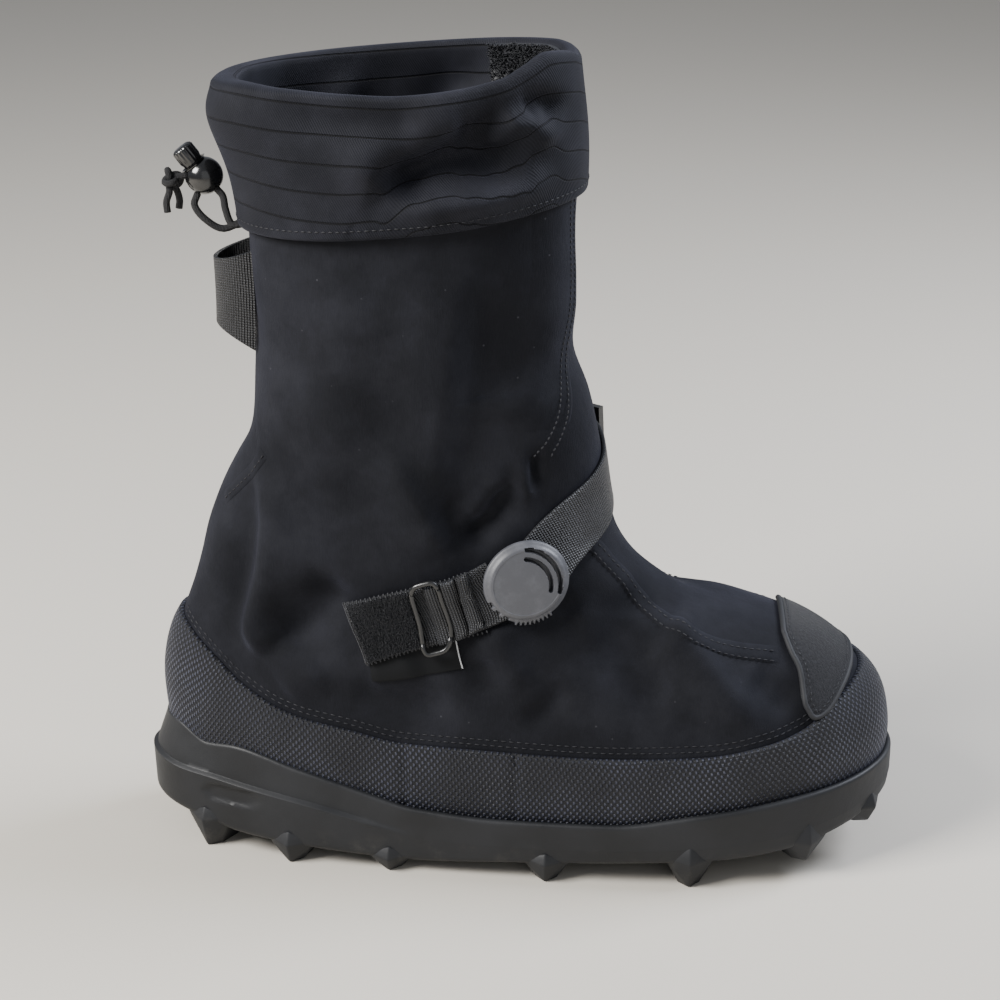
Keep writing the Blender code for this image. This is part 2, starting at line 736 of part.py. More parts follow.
def ribbon(name, sections, width, depth=0.007):
    """Cutter that follows a route: a strip of this width, from depth under the upper to depth over it."""
    bm = bmesh.new()
    loops = []
    for point, run, normal in sections:
        side = normal.cross(run).normalized() * width / 2
        corners = (point - side - normal * depth, point + side - normal * depth,
                   point + side + normal * depth, point - side + normal * depth)
        loops.append([bm.verts.new(place(c)) for c in corners])
    for low, high in zip(loops[:-1], loops[1:]):
        bridge(bm, low, high)
    bm.faces.new(loops[0])
    bm.faces.new(loops[-1])
    made = bpy.data.objects.new(name, mesh_of(name, bm))
    made.hide_render = True
    made.display_type = "WIRE"
    cutters.objects.link(made)
    return made


def make_bumper():
    """Woven reinforcement round the foot, tucked inside the sole's lip, with the toe patch let in."""
    bumper = wall("bumper", BUMPER_CLOTH, GAP, GAP + BUMPER_WALL, 0.0, 6.5)
    steps = 24
    ends = [(-0.2 + 1.4 * k / steps) * LENGTH for k in range(steps + 1)]
    top = [(x, bumper_height(x)) for x in ends]
    bottom = [(x, lip_height(x) - BUMPER_TUCK) for x in reversed(ends)]
    cut(bumper, prism("bumper_band", bottom + top, "Y", -BALL_WIDTH, BALL_WIDTH), "INTERSECT")
    patch_room = grown(patch_outline(), 1.5 * GAP)
    cut(bumper, prism("bumper_patch_room", patch_room, "Y", -BALL_WIDTH, BALL_WIDTH), "DIFFERENCE")
    return bumper


def patch_outline():
    return [(a * LENGTH, b * HEIGHT) for a, b in PATCH_OUTLINE]


def make_toe_patch():
    """Felt patch over the toe, inside a piping that stands a little higher."""
    whole = patch_outline()
    middle = grown(whole, -PIPING_WIDTH)
    middle[0] = (middle[0][0], whole[0][1])
    middle[-1] = (middle[-1][0], whole[-1][1])
    felt = wall("toe_patch", PATCH_FELT, GAP, GAP + PATCH_WALL, 1.0, 8.0)
    felt_edge = grown(middle, -GAP)
    cut(felt, prism("patch_felt", felt_edge, "Y", -BALL_WIDTH, BALL_WIDTH), "INTERSECT")
    piping = wall("toe_piping", PIPING, GAP, GAP + PATCH_WALL + PIPING_PROUD, 1.0, 8.0)
    cut(piping, prism("patch_whole", whole, "Y", -BALL_WIDTH, BALL_WIDTH), "INTERSECT")
    cut(piping, prism("patch_middle", middle, "Y", -BALL_WIDTH, BALL_WIDTH), "DIFFERENCE")
    return felt, piping


def make_front_flap():
    """Flap over the shaft's front closure, from the collar down to the instep strap."""
    flap = wall("front_flap", FLAP_CLOTH, GAP, GAP + FLAP_WALL, 11.0)
    outline = [(a * BALL_WIDTH, b * HEIGHT) for a, b in FLAP_OUTLINE]
    cut(flap, prism("flap_edge", outline, "X", LENGTH * 0.29, LENGTH), "INTERSECT")
    return flap


def cuff_flare(ring, turn):
    back = max(math.cos(2 * math.pi * turn), 0.0) ** 2
    return CUFF_FLARE * back * math.exp(-((ring - TOP_RING + 0.7) / 0.9) ** 2)


def make_cuff():
    """Collar folded outwards over the shaft, its hem rising to the front."""
    low = FLAP_WALL + 2 * GAP
    cuff = wall("cuff", TWILL, lambda r, t: low + cuff_flare(r, t),
                lambda r, t: low + CUFF_WALL + cuff_flare(r, t), 15.0)
    hem = [(a * LENGTH, b * HEIGHT) for a, b in CUFF_HEM]
    above = [(hem[-1][0], HEIGHT * 1.2), (hem[0][0], HEIGHT * 1.2)]
    cut(cuff, prism("cuff_hem", hem + above, "Y", -BALL_WIDTH, BALL_WIDTH), "INTERSECT")
    return cuff


def make_hook_tape():
    """Hook tape inside the collar's front, where the flap closes."""
    tape = wall("hook_tape", HOOKS, -(UPPER_WALL + GAP + TAPE_WALL), -(UPPER_WALL + GAP), 16.5)
    outline = [(a * BALL_WIDTH, b * HEIGHT) for a, b in TAPE_OUTLINE]
    cut(tape, prism("tape_edge", outline, "X", LENGTH * 0.4, LENGTH), "INTERSECT")
    return tape


def make_straps():
    """Webbing over the instep, its tail on the outer side, the inner strap and the label under the tail."""
    pieces = (
        ("strap_instep", INSTEP_ROUTE, 19, STRAP_WIDTH, STRAP_LOW, STRAP_HIGH, WEBBING),
        ("strap_tail", TAIL_ROUTE, 9, STRAP_WIDTH * 1.1, TAIL_LOW, TAIL_HIGH, WEBBING),
        ("strap_inner", INNER_ROUTE, 9, STRAP_WIDTH, STRAP_LOW, STRAP_HIGH, WEBBING),
        ("label_tab", LABEL_ROUTE, 5, LABEL_WIDTH, GAP, GAP + LABEL_WALL, LABEL_CLOTH),
    )
    for name, stops, count, width, low, high, surface in pieces:
        strap = wall(name, surface, low, high, 3.0, 13.5)
        cut(strap, ribbon(name + "_edge", route(stops, count), width), "INTERSECT")


def make_tail_bars():
    """Slider and keeper bars across the strap's tail."""
    sections = route(TAIL_ROUTE, 41)
    length = sum((b[0] - a[0]).length for a, b in zip(sections[:-1], sections[1:]))
    step = length / (len(sections) - 1)
    for k, share in enumerate(BAR_SHARES):
        middle = round(share * (len(sections) - 1))
        reach = max(1, round(BAR_LENGTH / 2 / step))
        name = "strap_slider" if k == 0 else f"keeper_bar_{k}"
        bar = wall(name, BLACK_PLASTIC, TAIL_HIGH + GAP, BARS_HIGH, 4.0, 12.0)
        width = STRAP_WIDTH * (1.35 if k == 0 else 1.16)
        cut(bar, ribbon(name + "_edge", sections[middle - reach:middle + reach + 1], width), "INTERSECT")


def seat(stop, lift, towards):
    """Matrix of a flat piece that lies on the upper at a stop, its X towards another stop."""
    ring, turn = on_upper(*stop)
    normal = Vector(upper_normal(ring, turn))
    point = Vector(upper_point(ring, turn)) + normal * lift
    ahead = Vector(upper_point(*on_upper(*towards))) - point
    x_axis = (ahead - normal * ahead.dot(normal)).normalized()
    y_axis = normal.cross(x_axis)
    turned = Matrix((x_axis, y_axis, normal)).transposed().to_4x4()
    return Matrix.Translation(Vector(place(point))) @ turned


def box(bm, size, centre):
    made = bmesh.ops.create_cube(bm, size=1.0)
    bmesh.ops.scale(bm, vec=size, verts=made["verts"])
    bmesh.ops.translate(bm, vec=centre, verts=made["verts"])


def cutter_object(name, bm, matrix):
    bmesh.ops.transform(bm, matrix=matrix, verts=bm.verts)
    made = bpy.data.objects.new(name, mesh_of(name, bm))
    made.hide_render = True
    made.display_type = "WIRE"
    cutters.objects.link(made)
    return made


def make_disc_buckle():
    """Round plastic buckle with teeth below and two curved slots for the webbing."""
    matrix = seat(DISC_PLACE, TAIL_HIGH + GAP, INSTEP_ROUTE[1])
    bm = bmesh.new()
    bmesh.ops.create_cone(bm, cap_ends=True, segments=32, radius1=DISC_RADIUS,
                          radius2=DISC_RADIUS * DISC_TAPER, depth=DISC_THICK)
    bmesh.ops.translate(bm, vec=(0, 0, DISC_THICK / 2), verts=bm.verts)
    bmesh.ops.transform(bm, matrix=matrix, verts=bm.verts)
    disc = finished("disc_buckle", mesh_of("disc_buckle", bm), GREY_PLASTIC, math.radians(35))
    for k in range(DISC_TEETH):
        angle = math.radians(DISC_TEETH_START + DISC_TEETH_STEP * k)
        tooth = bmesh.new()
        bmesh.ops.create_cone(tooth, cap_ends=True, segments=6, radius1=DISC_TOOTH, radius2=DISC_TOOTH * 0.8,
                              depth=DISC_THICK * 0.8)
        out = Vector((math.cos(angle), math.sin(angle), 0)) * (DISC_RADIUS - DISC_TOOTH * 0.3)
        bmesh.ops.translate(tooth, vec=out + Vector((0, 0, DISC_THICK * 0.45)), verts=tooth.verts)
        cut(disc, cutter_object(f"disc_tooth_{k}", tooth, matrix), "UNION")
    for k, radius in enumerate(DISC_SLOTS):
        slot = bmesh.new()
        loops = []
        for depth in (-DISC_THICK, 2 * DISC_THICK):
            arc = []
            for edge, order in ((radius - DISC_SLOT_HALF, 1), (radius + DISC_SLOT_HALF, -1)):
                for a in range(9)[::order]:
                    angle = math.radians(DISC_SLOT_REACH * (a / 4 - 1))
                    x = edge * math.cos(angle) - DISC_SLOT_SHIFT
                    arc.append(slot.verts.new((x, edge * math.sin(angle), depth)))
            loops.append(arc)
        bridge(slot, *loops)
        for loop in loops:
            slot.faces.new(loop)
        cut(disc, cutter_object(f"disc_slot_{k}", slot, matrix), "DIFFERENCE")
    return disc


def make_ladder_lock():
    """Frame buckle on the inner side, with a bar across its middle."""
    matrix = seat(LOCK_PLACE, STRAP_HIGH + LADDER_LIFT, INSTEP_ROUTE[2])
    long_, wide, thick = LADDER_SIZE
    bm = bmesh.new()
    box(bm, (long_, wide, thick), (0, 0, thick / 2))
    bmesh.ops.transform(bm, matrix=matrix, verts=bm.verts)
    lock = finished("ladder_lock", mesh_of("ladder_lock", bm), BLACK_PLASTIC)
    window = (long_ - 3 * LADDER_BAR) / 2
    for k, side in enumerate((-1, 1)):
        hole = bmesh.new()
        centre = (side * (window + LADDER_BAR) / 2, 0, thick / 2)
        box(hole, (window, wide - 2 * LADDER_BAR, 3 * thick), centre)
        cut(lock, cutter_object(f"ladder_window_{k}", hole, matrix), "DIFFERENCE")
    return lock


def back_face(y, height):
    """How far from the heel's back edge the upper's back lies at this y and height."""
    low, high = 0.0, 0.2
    for _ in range(16):
        turn = (low + high) / 2
        ring = ring_at_height(turn, lambda x: height, 0.0, TOP_RING)
        point = upper_point(ring, turn)
        if abs(point[1]) < abs(y):
            low = turn
        else:
            high = turn
    return point[0]


def make_pull_loop():
    """Webbing loop that stands off the back of the shaft, its ends against the shaft."""
    count = 11
    bm = bmesh.new()
    loops = []
    for k in range(count):
        angle = math.pi * (k / (count - 1) - 0.5)
        share = max(math.cos(angle), 0.0) ** 0.8
        loop = []
        for half, reach in ((LOOP_HALF, LOOP_REACH), (LOOP_HALF - LOOP_WALL, LOOP_REACH - LOOP_WALL)):
            y = half * math.sin(angle)
            for edge in (0, 1):
                z = HEIGHT * (LOOP_ROOT[edge] + (LOOP_BACK[edge] - LOOP_ROOT[edge]) * share)
                loop.append((back_face(y, z) - GAP * 1.5 - reach * share, y, z))
        order = (loop[0], loop[1], loop[3], loop[2])
        loops.append([bm.verts.new(place(p)) for p in order])
    for low, high in zip(loops[:-1], loops[1:]):
        bridge(bm, low, high)
    bm.faces.new(loops[0])
    bm.faces.new(loops[-1])
    bmesh.ops.triangulate(bm, faces=bm.faces)
    return finished("pull_loop", mesh_of("pull_loop", bm), LOOP_TAPE, math.radians(50))


def cord(name, stops, diameter):
    """A round cord along a smooth curve through its stops."""
    count = 7
    points = []
    for k in range(count):
        x = k * (len(stops) - 1) / (count - 1)
        points.append([flowing([stop[axis] for stop in stops], x) for axis in range(3)])
    curve = bpy.data.curves.new(name, "CURVE")
    curve.dimensions = "3D"
    curve.bevel_depth = diameter / 2
    curve.bevel_resolution = 2
    curve.use_fill_caps = True
    spline = curve.splines.new("POLY")
    spline.points.add(count - 1)
    for slot, point in zip(spline.points, points):
        slot.co = (*place(point), 1.0)
    curve.materials.append(CORD_ELASTIC)
    thing = bpy.data.objects.new(name, curve)
    overshoe.objects.link(thing)
    return thing


def ball(name, centre, radius, surface):
    bm = bmesh.new()
    bmesh.ops.create_uvsphere(bm, u_segments=14, v_segments=9, radius=radius)
    bmesh.ops.translate(bm, vec=Vector(place(centre)), verts=bm.verts)
    return finished(name, mesh_of(name, bm), surface, math.radians(60))


def make_cord_lock():
    """Ball shaped lock with a push button that slides in its bore."""
    barrel = ball("lock_barrel", LOCK_AT, LOCK_RADIUS, BLACK_PLASTIC)
    turned = LOCK_AXIS.to_track_quat("Z", "Y").to_matrix().to_4x4()
    matrix = Matrix.Translation(Vector(place(LOCK_AT))) @ turned
    bore = bmesh.new()
    floor = -(BUTTON_TRAVEL + BUTTON_CLEARANCE)
    top = LOCK_RADIUS * 1.6
    radius = BUTTON_RADIUS + BUTTON_CLEARANCE
    depth = top - floor
    bmesh.ops.create_cone(bore, cap_ends=True, segments=20, radius1=radius, radius2=radius, depth=depth)
    bmesh.ops.translate(bore, vec=(0, 0, (top + floor) / 2), verts=bore.verts)
    cut(barrel, cutter_object("lock_bore", bore, matrix), "DIFFERENCE")
    button = bmesh.new()
    height = LOCK_RADIUS + BUTTON_PROUD
    bmesh.ops.create_cone(button, cap_ends=True, segments=20, radius1=BUTTON_RADIUS, radius2=BUTTON_RADIUS,
                          depth=height)
    bmesh.ops.translate(button, vec=(0, 0, height / 2), verts=button.verts)
    bmesh.ops.transform(button, matrix=matrix, verts=button.verts)
    finished("lock_button", mesh_of("lock_button", button), BLACK_PLASTIC, math.radians(40))


def make_drawcord():
    """Elastic cord from the cuff's hem through the lock to its knot."""
    cord("cord_strand_outer", STRAND_OUTER, CORD_DIAMETER)
    cord("cord_strand_inner", STRAND_INNER, CORD_DIAMETER)
    ball("cord_knot", KNOT_AT, KNOT_RADIUS, CORD_ELASTIC)
    cord("cord_tail_outer", TAIL_OUTER, CORD_DIAMETER * 0.9)
    cord("cord_tail_inner", TAIL_INNER, CORD_DIAMETER * 0.9)


make_outsole()
make_insole()
make_upper()
make_bumper()
make_toe_patch()
make_front_flap()
make_cuff()
make_hook_tape()
make_straps()
make_tail_bars()
make_disc_buckle()
make_ladder_lock()
make_pull_loop()
make_cord_lock()
make_drawcord()
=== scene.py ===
"""Winter overshoe, right foot, with its looks: cloth, rubber, webbing, buckles and drawcord.

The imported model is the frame. Metres, +Z up, +X to the toe, -Y to the outer side of the foot.
"""

import math
from collections import namedtuple

import bmesh
import bpy
import numpy as np
from mathutils import Matrix, Vector


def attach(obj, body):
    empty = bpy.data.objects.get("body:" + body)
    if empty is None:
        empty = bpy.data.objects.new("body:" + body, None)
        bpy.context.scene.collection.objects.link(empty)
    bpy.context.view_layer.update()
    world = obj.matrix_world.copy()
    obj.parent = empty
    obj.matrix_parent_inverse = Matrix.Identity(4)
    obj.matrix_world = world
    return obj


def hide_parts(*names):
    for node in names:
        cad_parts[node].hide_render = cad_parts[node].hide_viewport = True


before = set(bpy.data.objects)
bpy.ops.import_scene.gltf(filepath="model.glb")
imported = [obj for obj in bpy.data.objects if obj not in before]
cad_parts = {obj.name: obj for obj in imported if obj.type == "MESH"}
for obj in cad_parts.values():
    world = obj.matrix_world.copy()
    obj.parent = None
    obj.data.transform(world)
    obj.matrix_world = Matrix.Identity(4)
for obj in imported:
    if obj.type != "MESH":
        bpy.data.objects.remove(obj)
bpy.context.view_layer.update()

# Camera
# A long lens, a metre from the shoe. It stands level with the outer side, a little behind square,
# and looks down into the collar.
CAMERA_TURN = math.radians(1.98)
CAMERA_RISE = math.radians(20.9)
CAMERA_DISTANCE = 1.0
CAMERA_AIM = Vector((0.1063, 0.0, 0.1574))
CAMERA_LENS = 82.27

lens = bpy.data.cameras.new("camera")
lens.lens = CAMERA_LENS
lens.sensor_width = 36.0
camera = bpy.data.objects.new("camera", lens)
bpy.context.scene.collection.objects.link(camera)
away = Vector((math.sin(CAMERA_TURN) * math.cos(CAMERA_RISE),
               -math.cos(CAMERA_TURN) * math.cos(CAMERA_RISE), math.sin(CAMERA_RISE)))
camera.location = CAMERA_AIM + away * CAMERA_DISTANCE
camera.rotation_euler = (-away).to_track_quat("-Z", "Y").to_euler()
bpy.context.scene.camera = camera


# Drawcord
# Elastic braided cord, 3 mm thick. Both ends leave the cuff's hem at the back, run through the ball
# shaped lock, are knotted together behind it and end in short cut tails.
HEEL_CENTRE = 0.052
CORD_DIAMETER = 0.0030
LOCK_AT = np.array((0.0352, -0.002, 0.3010))
KNOT_AT = np.array((0.0219, -0.0030, 0.3000))
STRAND_OUTER = (
    (0.0528, -0.0100, 0.2828), (0.0472, -0.0102, 0.2826), (0.0446, -0.0088, 0.2884),
    (0.0434, -0.0063, 0.2932), (0.0410, -0.0049, 0.2958),
)
STRAND_INNER = (
    (0.0530, -0.0035, 0.2836), (0.0430, -0.0050, 0.2793), (0.0355, -0.0060, 0.2835),
    (0.0312, -0.0052, 0.2890), (0.0323, -0.0041, 0.2935),
)
TAIL_OUTER = ((0.0208, -0.0046, 0.2946), (0.0195, -0.0055, 0.2905), (0.0198, -0.0058, 0.2862))
TAIL_INNER = ((0.0235, -0.0018, 0.2946), (0.0242, -0.0008, 0.2905), (0.0238, -0.0010, 0.2868))
CORD_POINTS = 46
CORD_BRAID = 0.0011       # length of one pick of the braid
CORD_DARK = (0.003, 0.003, 0.004)
CORD_LIGHT = (0.012, 0.012, 0.014)
KNOT_RADIUS = 0.0050
KNOT_LOOSE = 0.0004       # how far the knot stands out past its radius


class Shade:
    """One number that varies over a material. Python's operators add the Math nodes."""

    def __init__(self, paint, socket):
        self.paint = paint
        self.socket = socket

    def maths(self, operation, first, second=0.0):
        return self.paint.node("ShaderNodeMath", {0: first, 1: second}, operation=operation)

    def __add__(self, other):
        return self.maths("ADD", self, other)

    def __radd__(self, other):
        return self.maths("ADD", other, self)

    def __sub__(self, other):
        return self.maths("SUBTRACT", self, other)

    def __rsub__(self, other):
        return self.maths("SUBTRACT", other, self)

    def __mul__(self, other):
        return self.maths("MULTIPLY", self, other)

    def __rmul__(self, other):
        return self.maths("MULTIPLY", other, self)

    def __truediv__(self, other):
        return self.maths("DIVIDE", self, other)

    def sine(self):
        return self.maths("SINE", self)

    def waves(self, length):
        """A sine wave, from -1 to 1, that repeats over a length."""
        return (self * (2 * math.pi / length)).sine()

    def size(self):
        return self.maths("ABSOLUTE", self)

    def part(self):
        return self.maths("FRACT", self)

    def over(self, low, high):
        """0 below low, 1 above high, and smooth between them."""
        spread = {"Value": self, "From Min": low, "From Max": high}
        return self.paint.node("ShaderNodeMapRange", spread, interpolation_type="SMOOTHSTEP")


class Paint:
    """A material as it is mixed. Its node method adds any node and gives the wanted output."""

    def __init__(self, name, **constants):
        self.material = bpy.data.materials.new(name)
        self.material.use_nodes = True
        self.tree = self.material.node_tree
        self.shader = self.tree.nodes["Principled BSDF"]
        for socket, value in constants.items():
            self.put(socket.replace("_", " "), value)

    def fill(self, socket, value):
        if isinstance(value, Shade):
            self.tree.links.new(value.socket, socket)
        elif hasattr(value, "__len__") and len(value) == 3 and socket.type == "RGBA":
            socket.default_value = (*value, 1.0)
        else:
            socket.default_value = value

    def put(self, name, value):
        self.fill(self.shader.inputs[name], value)

    def node(self, kind, sockets=None, out=0, **settings):
        made = self.tree.nodes.new(kind)
        for key, value in settings.items():
            setattr(made, key, value)
        for key, value in (sockets or {}).items():
            self.fill(made.inputs[key], value)
        return Shade(self, made.outputs[out])

    def place(self, stretch=(1.0, 1.0, 1.0)):
        """Object coordinates, scaled along each axis."""
        spot = self.node("ShaderNodeTexCoord", out="Object")
        return self.node("ShaderNodeMapping", {"Vector": spot, "Scale": stretch})

    def apart(self, vector):
        """The three numbers of a vector."""
        return [self.node("ShaderNodeSeparateXYZ", {0: vector}, out=k) for k in range(3)]

    def along(self):
        """The piece's own UV map in metres: u round or along it, v across it."""
        return self.apart(self.node("ShaderNodeUVMap", uv_map="UVMap"))[:2]

    def noise(self, scale, detail=2.0, where=None, roughness=0.5):
        """Noise from 0 to 1; scale is how many times it changes over a metre."""
        sockets = {"Vector": where or self.place(), "Scale": scale, "Detail": detail, "Roughness": roughness}
        return self.node("ShaderNodeTexNoise", sockets)

    def blend(self, factor, low, high):
        """A colour between two, by a number from 0 to 1."""
        return self.node("ShaderNodeMix", {0: factor, 6: low, 7: high}, out=2, data_type="RGBA")

    def relief(self, height, depth, below=None):
        """A normal from a height of 0 to 1 that stands for depth metres."""
        sockets = {"Height": height, "Distance": depth, "Strength": 1.0}
        if below is not None:
            sockets["Normal"] = below
        return self.node("ShaderNodeBump", sockets)


def dress(piece, paint, slot, *nodes, body="overshoe"):
    """Gives a finished piece its material and its body, and hides the CAD nodes it stands for. Its slot is
    not used.
    """
    if paint is not None:
        piece.data.materials.clear()
        piece.data.materials.append(paint.material)
    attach(piece, body)
    if nodes:
        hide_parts(*nodes)
    return piece


def flowing(values, x):
    """A smooth curve through equally spaced values, read at many places at once."""
    values = np.asarray(values, float)
    x = np.clip(np.asarray(x, float), 0.0, len(values) - 1.0)
    k = np.minimum(x.astype(int), len(values) - 2)
    t = x - k
    if values.ndim > 1:
        t = t[..., None]
    longer = np.concatenate(([2 * values[0] - values[1]], values, [2 * values[-1] - values[-2]]))
    a, b, c, d = (longer[k + j] for j in range(4))
    bend, twist = 2 * a - 5 * b + 4 * c - d, 3 * b - a - 3 * c + d
    return 0.5 * (2 * b + (c - a) * t + bend * t ** 2 + twist * t ** 3)


def placed(points):
    """From the heel's back edge to the shoe's own frame."""
    return np.asarray(points, float) - np.array((HEEL_CENTRE, 0.0, 0.0))


def run_length(points):
    return float(np.linalg.norm(np.diff(points, axis=0), axis=1).sum())


def cord_paint():
    paint = Paint("cord_elastic", Roughness=0.75)
    x, y, z = paint.apart(paint.place())
    braid = (z + x).waves(CORD_BRAID) * (z - x + y).waves(CORD_BRAID)
    paint.put("Normal", paint.relief(braid * 0.5 + 0.5, 0.0003))
    paint.put("Base Color", paint.blend(braid.over(-1.0, 1.0), CORD_DARK, CORD_LIGHT))
    return paint


CORD_PAINT = cord_paint()


def mesh_object(name, mesh):
    piece = bpy.data.objects.new(name, mesh)
    bpy.context.scene.collection.objects.link(piece)
    return piece


def make_cord(name, strand, tail, nodes):
    """A strand from the hem through the lock and the knot to the end of its tail."""
    stops = placed([*strand, LOCK_AT, KNOT_AT, *tail])
    points = flowing(stops, np.linspace(0, len(stops) - 1, CORD_POINTS))
    curve = bpy.data.curves.new(name, "CURVE")
    curve.dimensions = "3D"
    curve.bevel_depth = CORD_DIAMETER / 2
    curve.bevel_resolution = 3
    curve.use_fill_caps = True
    spline = curve.splines.new("POLY")
    spline.points.add(len(points) - 1)
    for slot, point in zip(spline.points, points):
        slot.co = (*point, 1.0)
    piece = dress(mesh_object(name, curve), CORD_PAINT, "cord_elastic", *nodes)


def tube(name, line, radius, sides=8):
    """A round mesh tube along a closed line of points."""
    count = len(line)
    runs = np.roll(line, -1, 0) - np.roll(line, 1, 0)
    runs /= np.linalg.norm(runs, axis=1)[:, None]
    up = np.array((0.3, 0.2, 1.0))
    rows = []
    for point, run in zip(line, runs):
        side = np.cross(run, up)
        side /= np.linalg.norm(side)
        up = np.cross(side, run)
        angles = np.arange(sides) * 2 * math.pi / sides
        rows.append(point + radius * (np.cos(angles)[:, None] * side + np.sin(angles)[:, None] * up))
    faces = []
    for k in range(count):
        for c in range(sides):
            d = (c + 1) % sides
            low, high = k * sides, (k + 1) % count * sides
            faces.append((low + c, low + d, high + d, high + c))
    mesh = bpy.data.meshes.new(name)
    mesh.from_pydata(np.concatenate(rows).tolist(), [], faces)
    return mesh_object(name, finish_mesh(mesh))


def finish_mesh(mesh, sharp=50):
    """Turns the faces outwards and shades them smooth up to an angle."""
    bm = bmesh.new()
    bm.from_mesh(mesh)
    bmesh.ops.recalc_face_normals(bm, faces=bm.faces)
    if bm.calc_volume(signed=True) < 0:
        bmesh.ops.reverse_faces(bm, faces=bm.faces)
    bm.to_mesh(mesh)
    bm.free()
    mesh.shade_smooth()
    mesh.set_sharp_from_angle(angle=math.radians(sharp))
    return mesh


def knot_line(size, count=90):
    """A trefoil, the form that an overhand knot pulls into."""
    t = np.arange(count) * 2 * math.pi / count
    line = np.stack((np.sin(t) + 2 * np.sin(2 * t), np.cos(t) - 2 * np.cos(2 * t), -1.2 * np.sin(3 * t)), -1)
    turned = Matrix.Rotation(0.7, 3, "Y") @ Matrix.Rotation(0.5, 3, "X")
    return line / 3 * size @ np.array(turned).T


knot_middle = knot_line(KNOT_RADIUS - CORD_DIAMETER / 2 + KNOT_LOOSE)
knot = tube("cord_knot_tied", placed(KNOT_AT) + knot_middle, CORD_DIAMETER * 0.48)
dress(knot, CORD_PAINT, "cord_elastic", "cord_knot")
make_cord("drawcord_outer", STRAND_OUTER, TAIL_OUTER, ("cord_strand_outer", "cord_tail_outer"))
make_cord("drawcord_inner", STRAND_INNER, TAIL_INNER, ("cord_strand_inner", "cord_tail_inner"))


# Cord lock
# Moulded ball with a bore and a ribbed push button on a spring. The cord runs through both, and the
# button grips it. Black glossy plastic.
LOCK_AXIS = Vector((-0.60, -0.06, 0.80)).normalized()
LOCK_RADIUS = 0.0080
COLLAR_FOOT = 0.0063       # heights over the ball's centre: the collar's foot and top, and the bore's floor
COLLAR_TOP = 0.0070
BORE_FLOOR = -0.0040
BORE_GAP = 0.0004
BUTTON_RADIUS = 0.0048
BUTTON_PROUD = 0.0075
BUTTON_RIBS = 18
RIB_DEPTH = 0.03           # share of the button's radius
RIBS_FROM = 0.0085
LOCK_COLOUR = (0.0045, 0.0045, 0.005)


def lock_paint():
    paint = Paint("lock_plastic", Base_Color=LOCK_COLOUR, Coat_Weight=0.6, Coat_Roughness=0.12)
    worn = paint.noise(180, 4).over(0.45, 0.7)
    paint.put("Roughness", 0.16 + worn * 0.14)
    paint.put("Normal", paint.relief(paint.noise(900, 2), 0.00004))
    return paint


def turned_form(name, profile, sides, axis, centre, ripple=None):
    """A turned form about an axis from (radius, height) points; ripple varies its radius round it."""
    bm = bmesh.new()
    rings = []
    for radius, height in profile:
        ring = []
        for k in range(sides):
            angle = 2 * math.pi * k / sides
            r = radius * (1 + (ripple(angle, height) if ripple else 0.0))
            ring.append(bm.verts.new((r * math.cos(angle), r * math.sin(angle), height)))
        rings.append(ring)
    for low, high in zip(rings[:-1], rings[1:]):
        for k in range(sides):
            j = (k + 1) % sides
            bm.faces.new((low[k], low[j], high[j], high[k]))
    bm.faces.new(rings[0][::-1])
    bm.faces.new(rings[-1])
    turned = Matrix.Translation(centre) @ axis.to_track_quat("Z", "Y").to_matrix().to_4x4()
    bmesh.ops.transform(bm, matrix=turned, verts=bm.verts)
    mesh = bpy.data.meshes.new(name)
    bm.to_mesh(mesh)
    bm.free()
    return mesh_object(name, finish_mesh(mesh, 35))


def ball_profile():
    """Ball, with a flat collar round the bore and the bore's wall inside it."""
    bore = BUTTON_RADIUS + BORE_GAP
    angles = np.linspace(-0.5 * math.pi + 0.08, math.asin(COLLAR_FOOT / LOCK_RADIUS), 26)
    outside = [(LOCK_RADIUS * math.cos(a), LOCK_RADIUS * math.sin(a)) for a in angles]
    collar = [(bore + 0.0007, COLLAR_TOP), (bore + 0.0002, COLLAR_TOP + 0.0001), (bore, COLLAR_TOP - 0.0002)]
    return outside + collar + [(bore, BORE_FLOOR)]


def button_profile():
    """Stem, flared to a ribbed head with a rounded top."""
    radius, top = BUTTON_RADIUS, LOCK_RADIUS + BUTTON_PROUD
    stem = [(0.0030, 0.0002), (radius - 0.0004, 0.0006), (radius - 0.0002, 0.0080), (radius, 0.0092)]
    head = [(radius, top - 0.0016), (radius - 0.0004, top - 0.0008), (radius - 0.0014, top - 0.0002)]
    return stem + head + [(0.0015, top)]


def ribbed(angle, height):
    return RIB_DEPTH * math.cos(BUTTON_RIBS * angle) * (height > RIBS_FROM) - RIB_DEPTH


LOCK_PLASTIC = lock_paint()
lock_centre = Vector(placed(LOCK_AT))
ball = turned_form("cord_lock_ball", ball_profile(), 56, LOCK_AXIS, lock_centre)
dress(ball, LOCK_PLASTIC, "lock_plastic", "lock_barrel")
button = turned_form("cord_lock_button", button_profile(), BUTTON_RIBS * 6, LOCK_AXIS, lock_centre, ribbed)
dress(button, LOCK_PLASTIC, "lock_plastic", "lock_button", body="button")


